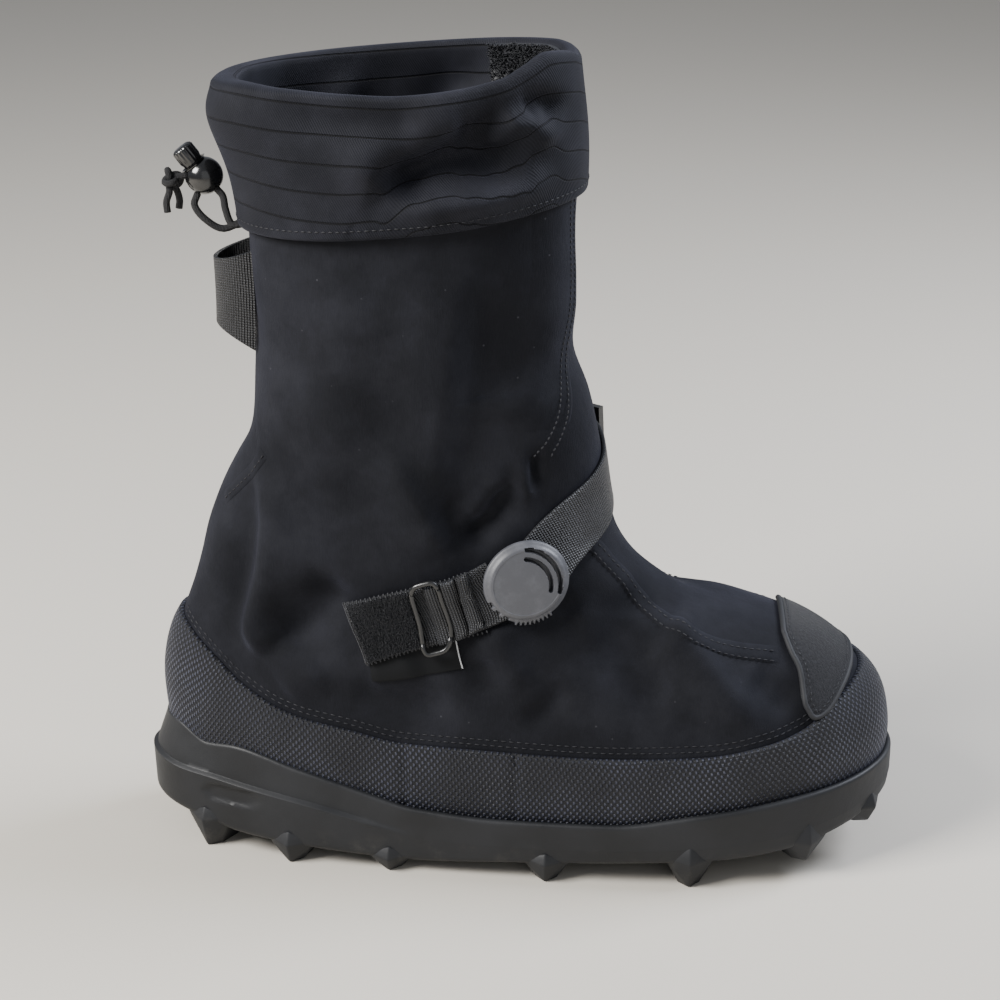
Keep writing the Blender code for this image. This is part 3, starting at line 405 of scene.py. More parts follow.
# Outsole
# One moulding of charcoal rubber: a tray with a lip all round, a heel cup with a raised band and a
# shallow bare recess on its outer side, seven gabled lugs along each edge and blocks under the foot.
LENGTH = 0.335
BALL_WIDTH = 0.120
HEIGHT = 0.350
GAP = 0.0003
UPPER_WALL = 0.0020
BUMPER_WALL = 0.0016
RIM_WALL = 0.0045
LUG_WIDTH = 0.022
LUG_PROUD = 0.0026
LUG_ROOT = 0.0040
LUG_DRAFT = 1.35
STEP_DEPTH = 0.0020
STEP_ENDS = 0.36
HEEL_CUP_LEAN = 0.0050
UNDER_BEVEL = 0.0035
UNDER_ROUND = 0.0030
WALL_INSET = 0.0006        # of the side wall at its foot
LIP_RADIUS = 0.0018
FOOTBED = 0.009            # over the sole's underside
STEP_BAND = ((-0.0009, 0.0), (-0.0003, 0.0), (0.0002, 0.0), (0.0007, 0.25), (0.0012, 0.7), (0.0017, 1.0))
SOLE_TURNS = 420
RECESS_AT = (0.040, 0.0285)             # outer heel: middle x from the heel's back edge, and height
RECESS_SIZE = (0.0150, 0.0044, 0.0015)   # half long, half high, deep

Plan = namedtuple("Plan", "outer inner")
PLAN = (
    Plan(0.000, 0.000), Plan(0.158, 0.167), Plan(0.275, 0.300), Plan(0.378, 0.354), Plan(0.425, 0.325),
    Plan(0.475, 0.320), Plan(0.504, 0.417), Plan(0.490, 0.454), Plan(0.382, 0.400), Plan(0.208, 0.242),
    Plan(0.000, 0.000),
)
Side = namedtuple("Side", "at under step lip ground")
SOLE_SIDE = (
    Side(0.000, 0.052, 0.112, 0.165, 0.018),
    Side(0.045, 0.044, 0.104, 0.160, 0.008),
    Side(0.085, 0.037, 0.102, 0.143, 0.000),
    Side(0.125, 0.029, 0.098, 0.147, 0.000),
    Side(0.215, 0.024, 0.086, 0.129, 0.000),
    Side(0.305, 0.018, 0.066, 0.105, 0.000),
    Side(0.365, 0.016, 0.054, 0.091, 0.000),
    Side(0.480, 0.022, 0.050, 0.083, 0.000),
    Side(0.625, 0.029, 0.052, 0.084, 0.000),
    Side(0.735, 0.034, 0.058, 0.100, 0.000),
    Side(0.840, 0.042, 0.068, 0.114, 0.014),
    Side(0.935, 0.060, 0.084, 0.124, 0.040),
    Side(1.000, 0.078, 0.100, 0.132, 0.058),
)
Lug = namedtuple("Lug", "at gable")
SIDE_LUGS = (Lug(0.080, 0.058), Lug(0.197, 0.046), Lug(0.331, 0.036), Lug(0.537, 0.042), Lug(0.725, 0.058),
             Lug(0.880, 0.078), Lug(0.968, 0.090))
LugCorner = namedtuple("LugCorner", "along out level above")
LUG_FORM = (
    LugCorner(-0.210, -0.273, "floor", 0.000), LugCorner(0.210, -0.273, "floor", 0.000),
    LugCorner(0.000, -0.055, "floor", 0.000), LugCorner(-0.300, -0.864, "floor", 0.000),
    LugCorner(0.300, -0.864, "floor", 0.000), LugCorner(-0.500, -0.136, "under", 0.091),
    LugCorner(0.500, -0.136, "under", 0.091), LugCorner(-0.450, -1.000, "under", 0.023),
    LugCorner(0.450, -1.000, "under", 0.023), LugCorner(0.000, LUG_PROUD / LUG_WIDTH, "under", 0.045),
    LugCorner(0.000, 0.018, "gable", 0.000), LugCorner(0.000, -0.068, "gable", -0.045),
)
Block = namedtuple("Block", "at across long wide")
INNER_LUGS = (
    Block(HEEL_CENTRE / LENGTH, 0.00, 0.90, 1.10), Block(0.255, 0.00, 0.60, 1.30),
    Block(0.400, 0.12, 0.55, 0.80), Block(0.400, -0.17, 0.55, 0.80), Block(0.470, -0.03, 0.50, 1.00),
    Block(0.600, 0.14, 0.60, 0.90), Block(0.600, -0.17, 0.60, 0.90), Block(0.665, -0.01, 0.90, 1.10),
    Block(0.735, 0.20, 0.55, 0.90), Block(0.735, -0.20, 0.55, 0.90), Block(0.800, 0.02, 0.60, 1.10),
    Block(0.865, 0.16, 0.50, 0.80), Block(0.865, -0.13, 0.50, 0.80), Block(0.925, 0.02, 0.50, 1.00),
)


def smooth(columns, values, x):
    """A smooth curve through the rows of a table, without overshoot."""
    xs, ys = np.asarray(columns, float), np.asarray(values, float)
    x = np.clip(np.asarray(x, float), xs[0], xs[-1])
    k = np.clip(np.searchsorted(xs, x) - 1, 0, len(xs) - 2)
    steps = np.diff(xs)
    slopes = np.diff(ys) / steps
    product = slopes[:-1] * slopes[1:]
    total = slopes[:-1] + slopes[1:]
    inside = np.where(product > 0, 2 * product / np.where(total == 0, 1, total), 0.0)
    ends = np.concatenate(([slopes[0]], inside, [slopes[-1]]))
    t = (x - xs[k]) / steps[k]
    low = ys[k] * (1 + 2 * t) * (1 - t) ** 2 + ends[k] * steps[k] * t * (1 - t) ** 2
    high = ys[k + 1] * (3 - 2 * t) * t * t + ends[k + 1] * steps[k] * t * t * (t - 1)
    return low + high


def side_height(column):
    """Height over the floor along the sole, for x from the heel's back edge."""
    ats = [row.at for row in SOLE_SIDE]
    values = [getattr(row, column) for row in SOLE_SIDE]
    return lambda x: HEIGHT * smooth(ats, values, np.asarray(x) / LENGTH)


under_height, step_height = side_height("under"), side_height("step")
lip_height, ground_height = side_height("lip"), side_height("ground")


def plan_edge(turn):
    """Point of the sole's plan at a turn: 0 heel, 0.25 outer side, 0.5 toe, 0.75 inner side."""
    turn = np.asarray(turn, float) % 1.0
    near = turn <= 0.5
    half = np.where(near, 2 * turn, 2 - 2 * turn)
    along = half * (len(PLAN) - 1) + 1
    outer = [-PLAN[1].inner] + [row.outer for row in PLAN] + [-PLAN[-2].inner]
    inner = [-PLAN[1].outer] + [row.inner for row in PLAN] + [-PLAN[-2].outer]
    y = np.where(near, -flowing(outer, along), flowing(inner, along))
    return np.stack((LENGTH * (1 - np.cos(np.pi * half)) / 2, BALL_WIDTH * y), -1)


def plan_normal(turn):
    run = plan_edge(np.asarray(turn) + 0.002) - plan_edge(np.asarray(turn) - 0.002)
    out = np.stack((run[..., 1], -run[..., 0]), -1)
    out /= np.linalg.norm(out, axis=-1, keepdims=True)
    middle = plan_edge(turn) - np.array((LENGTH / 2, 0.0))
    return np.where((out * middle).sum(-1, keepdims=True) > 0, out, -out)


def plan_inside(turn, inset):
    return plan_edge(turn) - np.asarray(inset)[..., None] * plan_normal(turn)


def sheet_object(name, points, uv=None, around=False, over=True, sharp=50):
    """A mesh on a grid of points. around joins its columns into a ring, over its rows."""
    rows, columns = points.shape[:2]
    r = np.arange(rows if over else rows - 1)
    c = np.arange(columns if around else columns - 1)
    row, column = np.meshgrid(r, c, indexing="ij")
    corners = ((row, column), (row, column + 1), (row + 1, column + 1), (row + 1, column))
    faces = np.stack([(a % rows) * columns + b % columns for a, b in corners], -1).reshape(-1, 4).tolist()
    spots = np.zeros((len(faces) * 4, 2))
    if uv is not None:
        spots = np.stack([uv[a, b] for a, b in corners], -2).reshape(-1, 2)
    if over and not around:
        for column in (0, columns - 1):
            for k in range(rows // 2 - 1):
                loop = (k, k + 1, rows - 2 - k, rows - 1 - k)
                faces.append([a * columns + column for a in loop])
        spots = np.concatenate((spots, np.zeros((len(faces) * 4 - len(spots), 2))))
    mesh = bpy.data.meshes.new(name)
    mesh.from_pydata(points.reshape(-1, 3).tolist(), [], faces)
    mesh.uv_layers.new(name="UVMap").data.foreach_set("uv", spots.ravel())
    p, q, s, t = np.moveaxis(points.reshape(-1, 3)[np.array(faces)], 1, 0)
    volume = (np.cross(p, q) * s).sum() + (np.cross(p, s) * t).sum()
    if over and volume < 0:
        mesh.flip_normals()
    mesh.shade_smooth()
    mesh.set_sharp_from_angle(angle=math.radians(sharp))
    return mesh_object(name, mesh)


def sole_row(turns, height, inset):
    """One loop round the sole: height and inset are functions of x from the heel's back edge."""
    x = plan_edge(turns)[:, 0]
    depth = inset(x) if callable(inset) else np.full_like(x, inset)
    spot = plan_inside(turns, depth)
    return np.column_stack((spot, height(spot[:, 0])))


def heel_share(x):
    return np.maximum(0.0, 1 - np.asarray(x) / (LENGTH * STEP_ENDS))


def stepped(x):
    return STEP_DEPTH * np.minimum(1.0, 4 * heel_share(x))


def leaned(x):
    return stepped(x) + HEEL_CUP_LEAN * heel_share(x) ** 2


def raised(height, rise):
    return lambda x: height(x) + rise


def between(low, high, share):
    return lambda x: low(x) + (high(x) - low(x)) * share


def sole_rows():
    """Loops from under the foot, out and up to the lip, and down inside the tray."""
    footbed = raised(under_height, FOOTBED)
    loops = [(under_height, inset) for inset in (0.040, 0.025, 0.012, UNDER_BEVEL + 0.001)]
    for angle in np.linspace(0, math.pi / 2, 5):
        inset = WALL_INSET + (UNDER_BEVEL - WALL_INSET) * (1 - math.sin(angle))
        loops.append((raised(under_height, UNDER_ROUND * (1 - math.cos(angle))), inset))
    for share in np.linspace(0.08, 0.93, 15):
        wall = between(raised(under_height, UNDER_ROUND), step_height, share)
        loops.append((wall, WALL_INSET * (1 - share)))
    for rise, share in STEP_BAND:
        loops.append((raised(step_height, rise), lambda x, share=share: stepped(x) * share))
    for share in np.linspace(0.1, 0.9, 9):
        wall = between(raised(step_height, 0.0022), raised(lip_height, -0.0020), share)
        loops.append((wall, between(stepped, leaned, share)))
    for angle in np.linspace(0, math.pi, 9):
        lip = raised(lip_height, LIP_RADIUS * (math.sin(angle) - 1))
        loops.append((lip, raised(leaned, LIP_RADIUS * (1 - math.cos(angle)))))
    loops += [(between(raised(lip_height, -0.0025), footbed, share), RIM_WALL) for share in (0.35, 0.7, 1.0)]
    loops += [(footbed, inset) for inset in (0.015, 0.030, 0.040)]
    turns = np.arange(SOLE_TURNS) / SOLE_TURNS
    return np.stack([sole_row(turns, height, inset) for height, inset in loops])


def recessed(points):
    """Presses the bare recess into the heel band's outer side."""
    long, high, deep = RECESS_SIZE
    across = np.abs(points[..., 0] - RECESS_AT[0]) / long
    up = np.abs(points[..., 2] - RECESS_AT[1]) / high
    inside = np.clip((1.0 - np.maximum(across + 0.25 * up, up)) / 0.30, 0, 1)
    points[..., 1] += np.where(points[..., 1] < 0, deep * inside, 0.0)
    return points


def lug_piece(name, hulls):
    """Lugs as bevelled hulls, all in one piece."""
    whole = bmesh.new()
    for points in hulls:
        bm = bmesh.new()
        made = [bm.verts.new(p) for p in placed(points)]
        bmesh.ops.convex_hull(bm, input=made)
        bmesh.ops.dissolve_limit(bm, angle_limit=0.05, verts=bm.verts, edges=bm.edges)
        bmesh.ops.bevel(bm, geom=bm.edges[:], offset=0.0007, segments=2, affect="EDGES", profile=0.6)
        part = bpy.data.meshes.new("lug")
        bm.to_mesh(part)
        whole.from_mesh(part)
        bm.free()
        bpy.data.meshes.remove(part)
    mesh = bpy.data.meshes.new(name)
    whole.to_mesh(mesh)
    whole.free()
    return mesh_object(name, finish_mesh(mesh, 40))


def side_lugs():
    """Corners of the gabled lugs along both edges."""
    hulls = []
    for outer in (True, False):
        for lug in SIDE_LUGS:
            half = math.acos(1 - 2 * lug.at) / (2 * math.pi)
            turn = half if outer else 1 - half
            edge, out = plan_edge(turn), plan_normal(turn)
            along = np.array((-out[1], out[0]))
            levels = {"floor": float(ground_height(edge[0])), "under": float(under_height(edge[0])),
                      "gable": lug.gable * HEIGHT}
            points = []
            for corner in LUG_FORM:
                spot = edge + LUG_WIDTH * (corner.along * along + corner.out * out)
                points.append((*spot, levels[corner.level] + LUG_WIDTH * corner.above))
            hulls.append(points)
    return hulls


def inner_lugs():
    """Corners of the tapered blocks under the foot."""
    hulls = []
    for block in INNER_LUGS:
        x, y = block.at * LENGTH, block.across * BALL_WIDTH
        points = []
        for level, grow in ((ground_height(x), 1.0), (under_height(x) + LUG_ROOT, LUG_DRAFT)):
            long, wide = (size * LUG_WIDTH / 2 * grow for size in (block.long, block.wide))
            points += [(x + a * long, y + b * wide, float(level)) for a in (-1, 1) for b in (-1, 1)]
        hulls.append(points)
    return hulls


def rubber_paint():
    paint = Paint("sole_rubber", Specular_IOR_Level=0.32)
    height = paint.apart(paint.place())[2]
    cloud = paint.noise(28, 4).over(0.35, 0.7)
    dust = paint.noise(95, 6, roughness=0.7).over(0.5, 0.75) * (1 - height.over(0.0, 0.022)) * 0.7
    tone = paint.blend(cloud, (0.0085, 0.0092, 0.0108), (0.0150, 0.0160, 0.0185))
    paint.put("Base Color", paint.blend(dust, tone, (0.075, 0.070, 0.062)))
    paint.put("Roughness", 0.46 + cloud * 0.14 + dust * 0.3)
    grain = paint.relief(paint.noise(1500, 3), 0.00006)
    paint.put("Normal", paint.relief(paint.noise(160, 3), 0.00020, grain))
    return paint


def closed_ends(piece):
    """Closes the holes in the middle of a grid's first and last loop."""
    bm = bmesh.new()
    bm.from_mesh(piece.data)
    bmesh.ops.holes_fill(bm, edges=[edge for edge in bm.edges if edge.is_boundary])
    bmesh.ops.recalc_face_normals(bm, faces=bm.faces)
    bm.to_mesh(piece.data)
    bm.free()
    return piece


RUBBER = rubber_paint()
sole = sheet_object("outsole_moulding", placed(recessed(sole_rows())), around=True, over=False, sharp=40)
dress(closed_ends(sole), RUBBER, "sole_rubber", "outsole")
dress(lug_piece("outsole_lugs", side_lugs() + inner_lugs()), RUBBER, "sole_rubber", "outsole")


# Insole
# Thin sheet of dark foam that lies loose in the tray, inside the upper. Its CAD solid has its form and
# is shown with a material of its own.
FOAM_DARK = (0.016, 0.016, 0.018)
FOAM_LIGHT = (0.030, 0.030, 0.034)


def foam_paint():
    paint = Paint("insole_foam", Roughness=0.95)
    cells = paint.node("ShaderNodeTexVoronoi", {"Vector": paint.place(), "Scale": 900})
    paint.put("Base Color", paint.blend(paint.noise(40, 3).over(0.3, 0.7), FOAM_DARK, FOAM_LIGHT))
    paint.put("Normal", paint.relief(cells, 0.0002))
    return paint


def painted(node, paint):
    """Gives a CAD node that is shown as it is its material."""
    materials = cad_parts[node].data.materials
    materials.clear()
    materials.append(paint.material)


painted("insole", foam_paint())


# Upper
# Tall shell of heavy nylon cloth with a knitted lining, sewn up at the heel and along the vamp. It is
# glued into the sole's tray. Its slack shows as long soft folds.
SHAFT_WIDTH = 0.094
BACK_ROUND = 0.80
UPPER_INSET = RIM_WALL + BUMPER_WALL + 2 * GAP
Ring = namedtuple("Ring", "back_x back_z front_x front_z dip oval half nose")
UPPER_RINGS = (
    Ring(0.024, 0.060, 0.979, 0.096, 0.022, 0.00, 0.53, 1.00),
    Ring(0.025, 0.120, 0.984, 0.120, 0.056, 0.00, 0.53, 1.00),
    Ring(0.030, 0.178, 0.983, 0.165, 0.062, 0.00, 0.53, 1.00),
    Ring(0.035, 0.229, 0.967, 0.214, 0.050, 0.12, 0.53, 1.00),
    Ring(0.044, 0.276, 0.934, 0.254, 0.032, 0.42, 0.53, 1.00),
    Ring(0.055, 0.309, 0.888, 0.288, 0.016, 0.80, 0.50, 1.00),
    Ring(0.068, 0.344, 0.834, 0.308, 0.000, 1.00, 0.48, 1.00),
    Ring(0.080, 0.381, 0.774, 0.322, 0.000, 1.00, 0.47, 1.00),
    Ring(0.091, 0.418, 0.717, 0.336, 0.000, 1.00, 0.47, 1.00),
    Ring(0.104, 0.451, 0.669, 0.368, 0.000, 1.00, 0.47, 0.95),
    Ring(0.117, 0.481, 0.632, 0.406, 0.000, 1.00, 0.47, 0.90),
    Ring(0.132, 0.512, 0.613, 0.458, 0.000, 1.00, 0.47, 0.86),
    Ring(0.150, 0.548, 0.600, 0.535, 0.000, 1.00, 0.48, 0.84),
    Ring(0.158, 0.588, 0.588, 0.594, 0.000, 1.00, 0.49, 0.84),
    Ring(0.161, 0.646, 0.566, 0.652, 0.000, 1.00, 0.495, 0.84),
    Ring(0.163, 0.714, 0.567, 0.715, 0.000, 1.00, 0.50, 0.84),
    Ring(0.161, 0.786, 0.567, 0.786, 0.000, 1.00, 0.50, 0.84),
    Ring(0.156, 0.857, 0.568, 0.857, 0.000, 1.00, 0.50, 0.84),
    Ring(0.150, 0.926, 0.566, 0.926, 0.000, 1.00, 0.49, 0.84),
    Ring(0.146, 0.976, 0.560, 1.012, 0.000, 1.00, 0.48, 0.84),
)
TOP_RING = len(UPPER_RINGS) - 1
RIM_FROM = 15.5            # ring above which the rim's waves grow
RIM_WAVES = (
    (0.00, 0.0010), (0.07, 0.0012), (0.14, -0.0012), (0.21, -0.0046), (0.26, -0.0066), (0.31, -0.0062),
    (0.35, -0.0048), (0.38, -0.0010), (0.41, 0.0026), (0.45, 0.0010), (0.50, -0.0030), (0.58, -0.0010),
    (0.70, -0.0010), (0.85, 0.0), (1.00, 0.0010),
)

# Folds, each drawn from its top down in the side view: shares of LENGTH and HEIGHT. rise is how far it
# stands out in metres, below nought for a trough; toe and heel are its widths on either side.
Fold = namedtuple("Fold", "side rise toe heel line")
FOLDS = (
    Fold(-1, 0.0026, 0.009, 0.022, ((0.441, 0.80), (0.415, 0.72), (0.399, 0.62), (0.388, 0.53),
                                   (0.402, 0.46))),
    Fold(-1, -0.0020, 0.018, 0.018, ((0.357, 0.75), (0.336, 0.62), (0.322, 0.53), (0.318, 0.45))),
    Fold(-1, 0.0020, 0.016, 0.016, ((0.273, 0.79), (0.289, 0.69), (0.273, 0.58), (0.263, 0.46))),
    Fold(-1, -0.0026, 0.018, 0.010, ((0.470, 0.78), (0.460, 0.70), (0.455, 0.60), (0.440, 0.53),
                                   (0.437, 0.44))),
    Fold(-1, 0.0034, 0.005, 0.013, ((0.333, 0.563), (0.353, 0.528), (0.375, 0.493), (0.394, 0.456),
                                   (0.409, 0.420))),
    Fold(-1, -0.0028, 0.008, 0.006, ((0.395, 0.505), (0.420, 0.465), (0.437, 0.425))),
    Fold(-1, -0.0056, 0.006, 0.006, ((0.494, 0.515), (0.474, 0.484), (0.454, 0.457), (0.436, 0.430))),
    Fold(-1, 0.0028, 0.004, 0.004, ((0.503, 0.540), (0.509, 0.515), (0.512, 0.488))),
    Fold(-1, -0.0030, 0.003, 0.003, ((0.521, 0.550), (0.520, 0.528), (0.517, 0.500))),
    Fold(-1, 0.0024, 0.005, 0.005, ((0.487, 0.535), (0.470, 0.505), (0.453, 0.483), (0.436, 0.465))),
    Fold(-1, 0.0046, 0.011, 0.004, ((0.171, 0.530), (0.178, 0.457), (0.171, 0.388), (0.154, 0.325),
                                   (0.160, 0.293),
                                    (0.176, 0.276))),
    Fold(-1, -0.0032, 0.007, 0.009, ((0.152, 0.510), (0.152, 0.430), (0.140, 0.360), (0.130, 0.300))),
    Fold(-1, -0.0055, 0.011, 0.011, ((0.283, 0.392), (0.253, 0.359), (0.219, 0.323), (0.190, 0.292))),
    Fold(-1, 0.0018, 0.012, 0.012, ((0.216, 0.460), (0.226, 0.400), (0.200, 0.350))),
    Fold(-1, 0.0045, 0.009, 0.010, ((0.466, 0.345), (0.475, 0.315), (0.490, 0.284), (0.510, 0.256))),
    Fold(-1, -0.0026, 0.006, 0.006, ((0.548, 0.270), (0.546, 0.240), (0.527, 0.221), (0.498, 0.220))),
    Fold(-1, -0.0028, 0.008, 0.008, ((0.452, 0.300), (0.458, 0.270), (0.470, 0.240))),
    Fold(-1, -0.0028, 0.008, 0.008, ((0.426, 0.230), (0.348, 0.232), (0.277, 0.240))),
    Fold(-1, 0.0026, 0.009, 0.009, ((0.258, 0.266), (0.217, 0.250), (0.190, 0.233))),
    Fold(-1, 0.0020, 0.010, 0.010, ((0.380, 0.290), (0.340, 0.272), (0.300, 0.268))),
    Fold(-1, 0.0050, 0.006, 0.013, ((0.690, 0.325), (0.705, 0.311), (0.740, 0.277), (0.781, 0.236),
                                   (0.823, 0.208))),
    Fold(-1, -0.0044, 0.013, 0.016, ((0.600, 0.360), (0.630, 0.310), (0.670, 0.268), (0.715, 0.232))),
    Fold(-1, -0.0034, 0.008, 0.008, ((0.800, 0.272), (0.822, 0.255), (0.842, 0.238), (0.856, 0.220))),
    Fold(-1, 0.0020, 0.008, 0.008, ((0.590, 0.430), (0.612, 0.387), (0.645, 0.350))),
    Fold(-1, 0.0018, 0.010, 0.006, ((0.560, 0.400), (0.585, 0.350), (0.600, 0.290))),
    Fold(-1, 0.0046, 0.005, 0.014, ((0.470, 0.972), (0.423, 0.954), (0.383, 0.926), (0.342, 0.909),
                                   (0.324, 0.886),
                                    (0.309, 0.850))),
    Fold(-1, -0.0078, 0.011, 0.010, ((0.512, 0.913), (0.470, 0.907), (0.419, 0.908), (0.368, 0.893),
                                   (0.338, 0.872))),
    Fold(-1, -0.0036, 0.008, 0.008, ((0.490, 0.950), (0.453, 0.944), (0.420, 0.936))),
    Fold(-1, 0.0036, 0.006, 0.006, ((0.540, 0.882), (0.477, 0.868), (0.406, 0.858), (0.350, 0.852))),
    Fold(-1, 0.0034, 0.005, 0.005, ((0.468, 0.914), (0.473, 0.932), (0.484, 0.946), (0.500, 0.952))),
    Fold(-1, 0.0030, 0.005, 0.005, ((0.486, 0.950), (0.503, 0.945), (0.518, 0.931), (0.534, 0.915))),
    Fold(-1, -0.0038, 0.005, 0.005, ((0.541, 0.955), (0.517, 0.966), (0.494, 0.962))),
    Fold(-1, -0.0024, 0.007, 0.007, ((0.395, 0.962), (0.349, 0.948), (0.277, 0.953), (0.203, 0.963))),
    Fold(-1, 0.0028, 0.004, 0.006, ((0.126, 0.990), (0.135, 0.920), (0.142, 0.860), (0.146, 0.800))),
    Fold(1, 0.0028, 0.012, 0.020, ((0.430, 0.79), (0.405, 0.66), (0.395, 0.55), (0.420, 0.47))),
    Fold(1, -0.0024, 0.016, 0.016, ((0.350, 0.76), (0.330, 0.63), (0.325, 0.50))),
    Fold(1, 0.0022, 0.016, 0.016, ((0.275, 0.79), (0.265, 0.62), (0.258, 0.47))),
    Fold(1, -0.0030, 0.014, 0.010, ((0.480, 0.76), (0.465, 0.64), (0.450, 0.55))),
    Fold(1, 0.0042, 0.010, 0.004, ((0.170, 0.520), (0.182, 0.440), (0.172, 0.370), (0.160, 0.300))),
    Fold(1, -0.0050, 0.011, 0.011, ((0.270, 0.380), (0.235, 0.340), (0.200, 0.300))),
    Fold(1, 0.0036, 0.008, 0.012, ((0.560, 0.420), (0.620, 0.350), (0.690, 0.280), (0.740, 0.230))),
    Fold(1, -0.0044, 0.008, 0.008, ((0.540, 0.390), (0.590, 0.330), (0.650, 0.270), (0.690, 0.230))),
    Fold(1, 0.0034, 0.009, 0.009, ((0.500, 0.370), (0.540, 0.320), (0.580, 0.270))),
    Fold(1, -0.0030, 0.009, 0.009, ((0.620, 0.400), (0.690, 0.330), (0.760, 0.270))),
    Fold(1, 0.0030, 0.010, 0.010, ((0.380, 0.300), (0.330, 0.270), (0.280, 0.250))),
    Fold(1, 0.0040, 0.008, 0.012, ((0.450, 0.970), (0.400, 0.930), (0.380, 0.880), (0.330, 0.840))),
    Fold(1, -0.0050, 0.010, 0.010, ((0.500, 0.940), (0.450, 0.910), (0.430, 0.870))),
    Fold(1, -0.0030, 0.008, 0.008, ((0.300, 0.960), (0.250, 0.920), (0.240, 0.870))),
)
FOLD_POINTS = 26
FOLD_DEPTH = 1.3           # how deep all the folds are, as a multiple
FOLD_RUN_OUT = 0.28        # share of a fold's length over which it dies away at each end
FOLD_REST = 0.15           # share of its depth that is left there
FOLD_SIDE = 0.016          # a fold fades towards the middle plane over this distance
SMOOTH_TO = 0.045          # the cloth is smooth up to this height, and folded from FOLDED_OVER above it
FOLDED_OVER = 0.022
SLACK = 0.00045            # unevenness of the cloth everywhere


def form(ring, turn):
    """The upper's outer face before its folds, in the shoe's frame."""
    ring, turn = np.broadcast_arrays(np.asarray(ring, float), np.asarray(turn, float) % 1.0)
    row = Ring(*np.moveaxis(flowing(UPPER_RINGS, ring), -1, 0))
    half = 2 * np.pi * np.where(turn <= 0.5, turn, 1 - turn)
    side = np.where(turn <= 0.5, -1.0, 1.0)
    heel, toe = plan_inside(0.0, UPPER_INSET), plan_inside(0.5, UPPER_INSET)
    foot = plan_inside(turn, UPPER_INSET)
    foot_share = (foot[..., 0] - heel[0]) / (toe[0] - heel[0])
    oval_share = (1 - np.cos(half)) / 2
    power = BACK_ROUND + (row.nose - BACK_ROUND) * oval_share
    oval_y = side * row.half * SHAFT_WIDTH * np.maximum(np.sin(half), 1e-9) ** power
    share = foot_share + (oval_share - foot_share) * row.oval
    x = LENGTH * (row.back_x + (row.front_x - row.back_x) * share)
    y = foot[..., 1] + (oval_y - foot[..., 1]) * row.oval
    sag = row.dip * np.sin(np.pi * np.clip(share, 0, 1)) ** 1.3
    z = HEIGHT * (row.back_z + (row.front_z - row.back_z) * share - sag)
    wave = smooth([row[0] for row in RIM_WAVES], [row[1] for row in RIM_WAVES], turn)
    z = z + wave * np.clip((ring - RIM_FROM) / (TOP_RING - RIM_FROM), 0, 1) ** 1.5
    return np.stack((x - HEEL_CENTRE, y, z), -1)


def facing(ring, turn, surface):
    """The outward direction of a surface function at ring and turn."""
    ring = np.asarray(ring, float)
    low, high = np.maximum(ring - 0.04, 0.0), np.minimum(ring + 0.04, TOP_RING)
    up = surface(high, turn) - surface(low, turn)
    around = surface(ring, np.asarray(turn) + 0.003) - surface(ring, np.asarray(turn) - 0.003)
    normal = np.cross(around, up)
    return normal / np.maximum(np.linalg.norm(normal, axis=-1, keepdims=True), 1e-12)


def folded(points):
    """How far the cloth stands out at points of the form."""
    x, y, z = np.moveaxis(points, -1, 0)
    ripples = np.sin(61 * x + 37 * z + 3 * np.sin(29 * z)) + np.sin(83 * z - 41 * x + 2 * np.sin(47 * y))
    rise = SLACK * ripples
    for fold in FOLDS:
        line = flowing(fold.line, np.linspace(0, len(fold.line) - 1, FOLD_POINTS)) * (LENGTH, HEIGHT)
        line = line - (HEEL_CENTRE, 0.0)
        runs = np.gradient(line, axis=0)
        gap = np.linalg.norm(runs, axis=1)
        runs /= gap[:, None]
        off_x, off_z = x[..., None] - line[:, 0], z[..., None] - line[:, 1]
        near = np.argmin(off_x ** 2 + off_z ** 2, axis=-1)
        dx = np.take_along_axis(off_x, near[..., None], -1)[..., 0]
        dz = np.take_along_axis(off_z, near[..., None], -1)[..., 0]
        run = runs[near]
        across = run[..., 0] * dz - run[..., 1] * dx
        width = np.where(across > 0, fold.toe, fold.heel)
        place = near + np.clip((run[..., 0] * dx + run[..., 1] * dz) / gap[near], -0.5, 0.5)
        end = np.clip(np.minimum(place, FOLD_POINTS - 1 - place) / (FOLD_POINTS * FOLD_RUN_OUT), 0, 1)
        ease = end * end * (3 - 2 * end) * (1 - FOLD_REST) + FOLD_REST
        side = np.clip(fold.side * y / FOLD_SIDE, 0, 1)
        inner = (near > 0) & (near < FOLD_POINTS - 1)
        distance = np.where(inner, across ** 2, dx ** 2 + dz ** 2)
        rise = rise + FOLD_DEPTH * fold.rise * ease * side * np.exp(-distance / width ** 2)
    return rise * np.clip((z - SMOOTH_TO) / FOLDED_OVER, 0, 1)


def skin(ring, turn, lift=0.0):
    """The folded cloth's outer face, or a face at a lift from it."""
    points = form(ring, turn)
    return points + (folded(points) + lift)[..., None] * facing(ring, turn, form)


def uv_of(points, around):
    """Lengths round and up a grid of points, as a UV map in metres."""
    if around:
        points = np.concatenate((points, points[:, :1]), axis=1)
    across = np.linalg.norm(np.diff(points, axis=1), axis=-1).mean(0)
    up = np.linalg.norm(np.diff(points, axis=0), axis=-1)
    u = np.broadcast_to(np.concatenate(([0], np.cumsum(across))), points.shape[:2])
    v = np.concatenate((np.zeros((1, points.shape[1])), np.cumsum(up, 0)))
    return np.stack((u, v), -1)


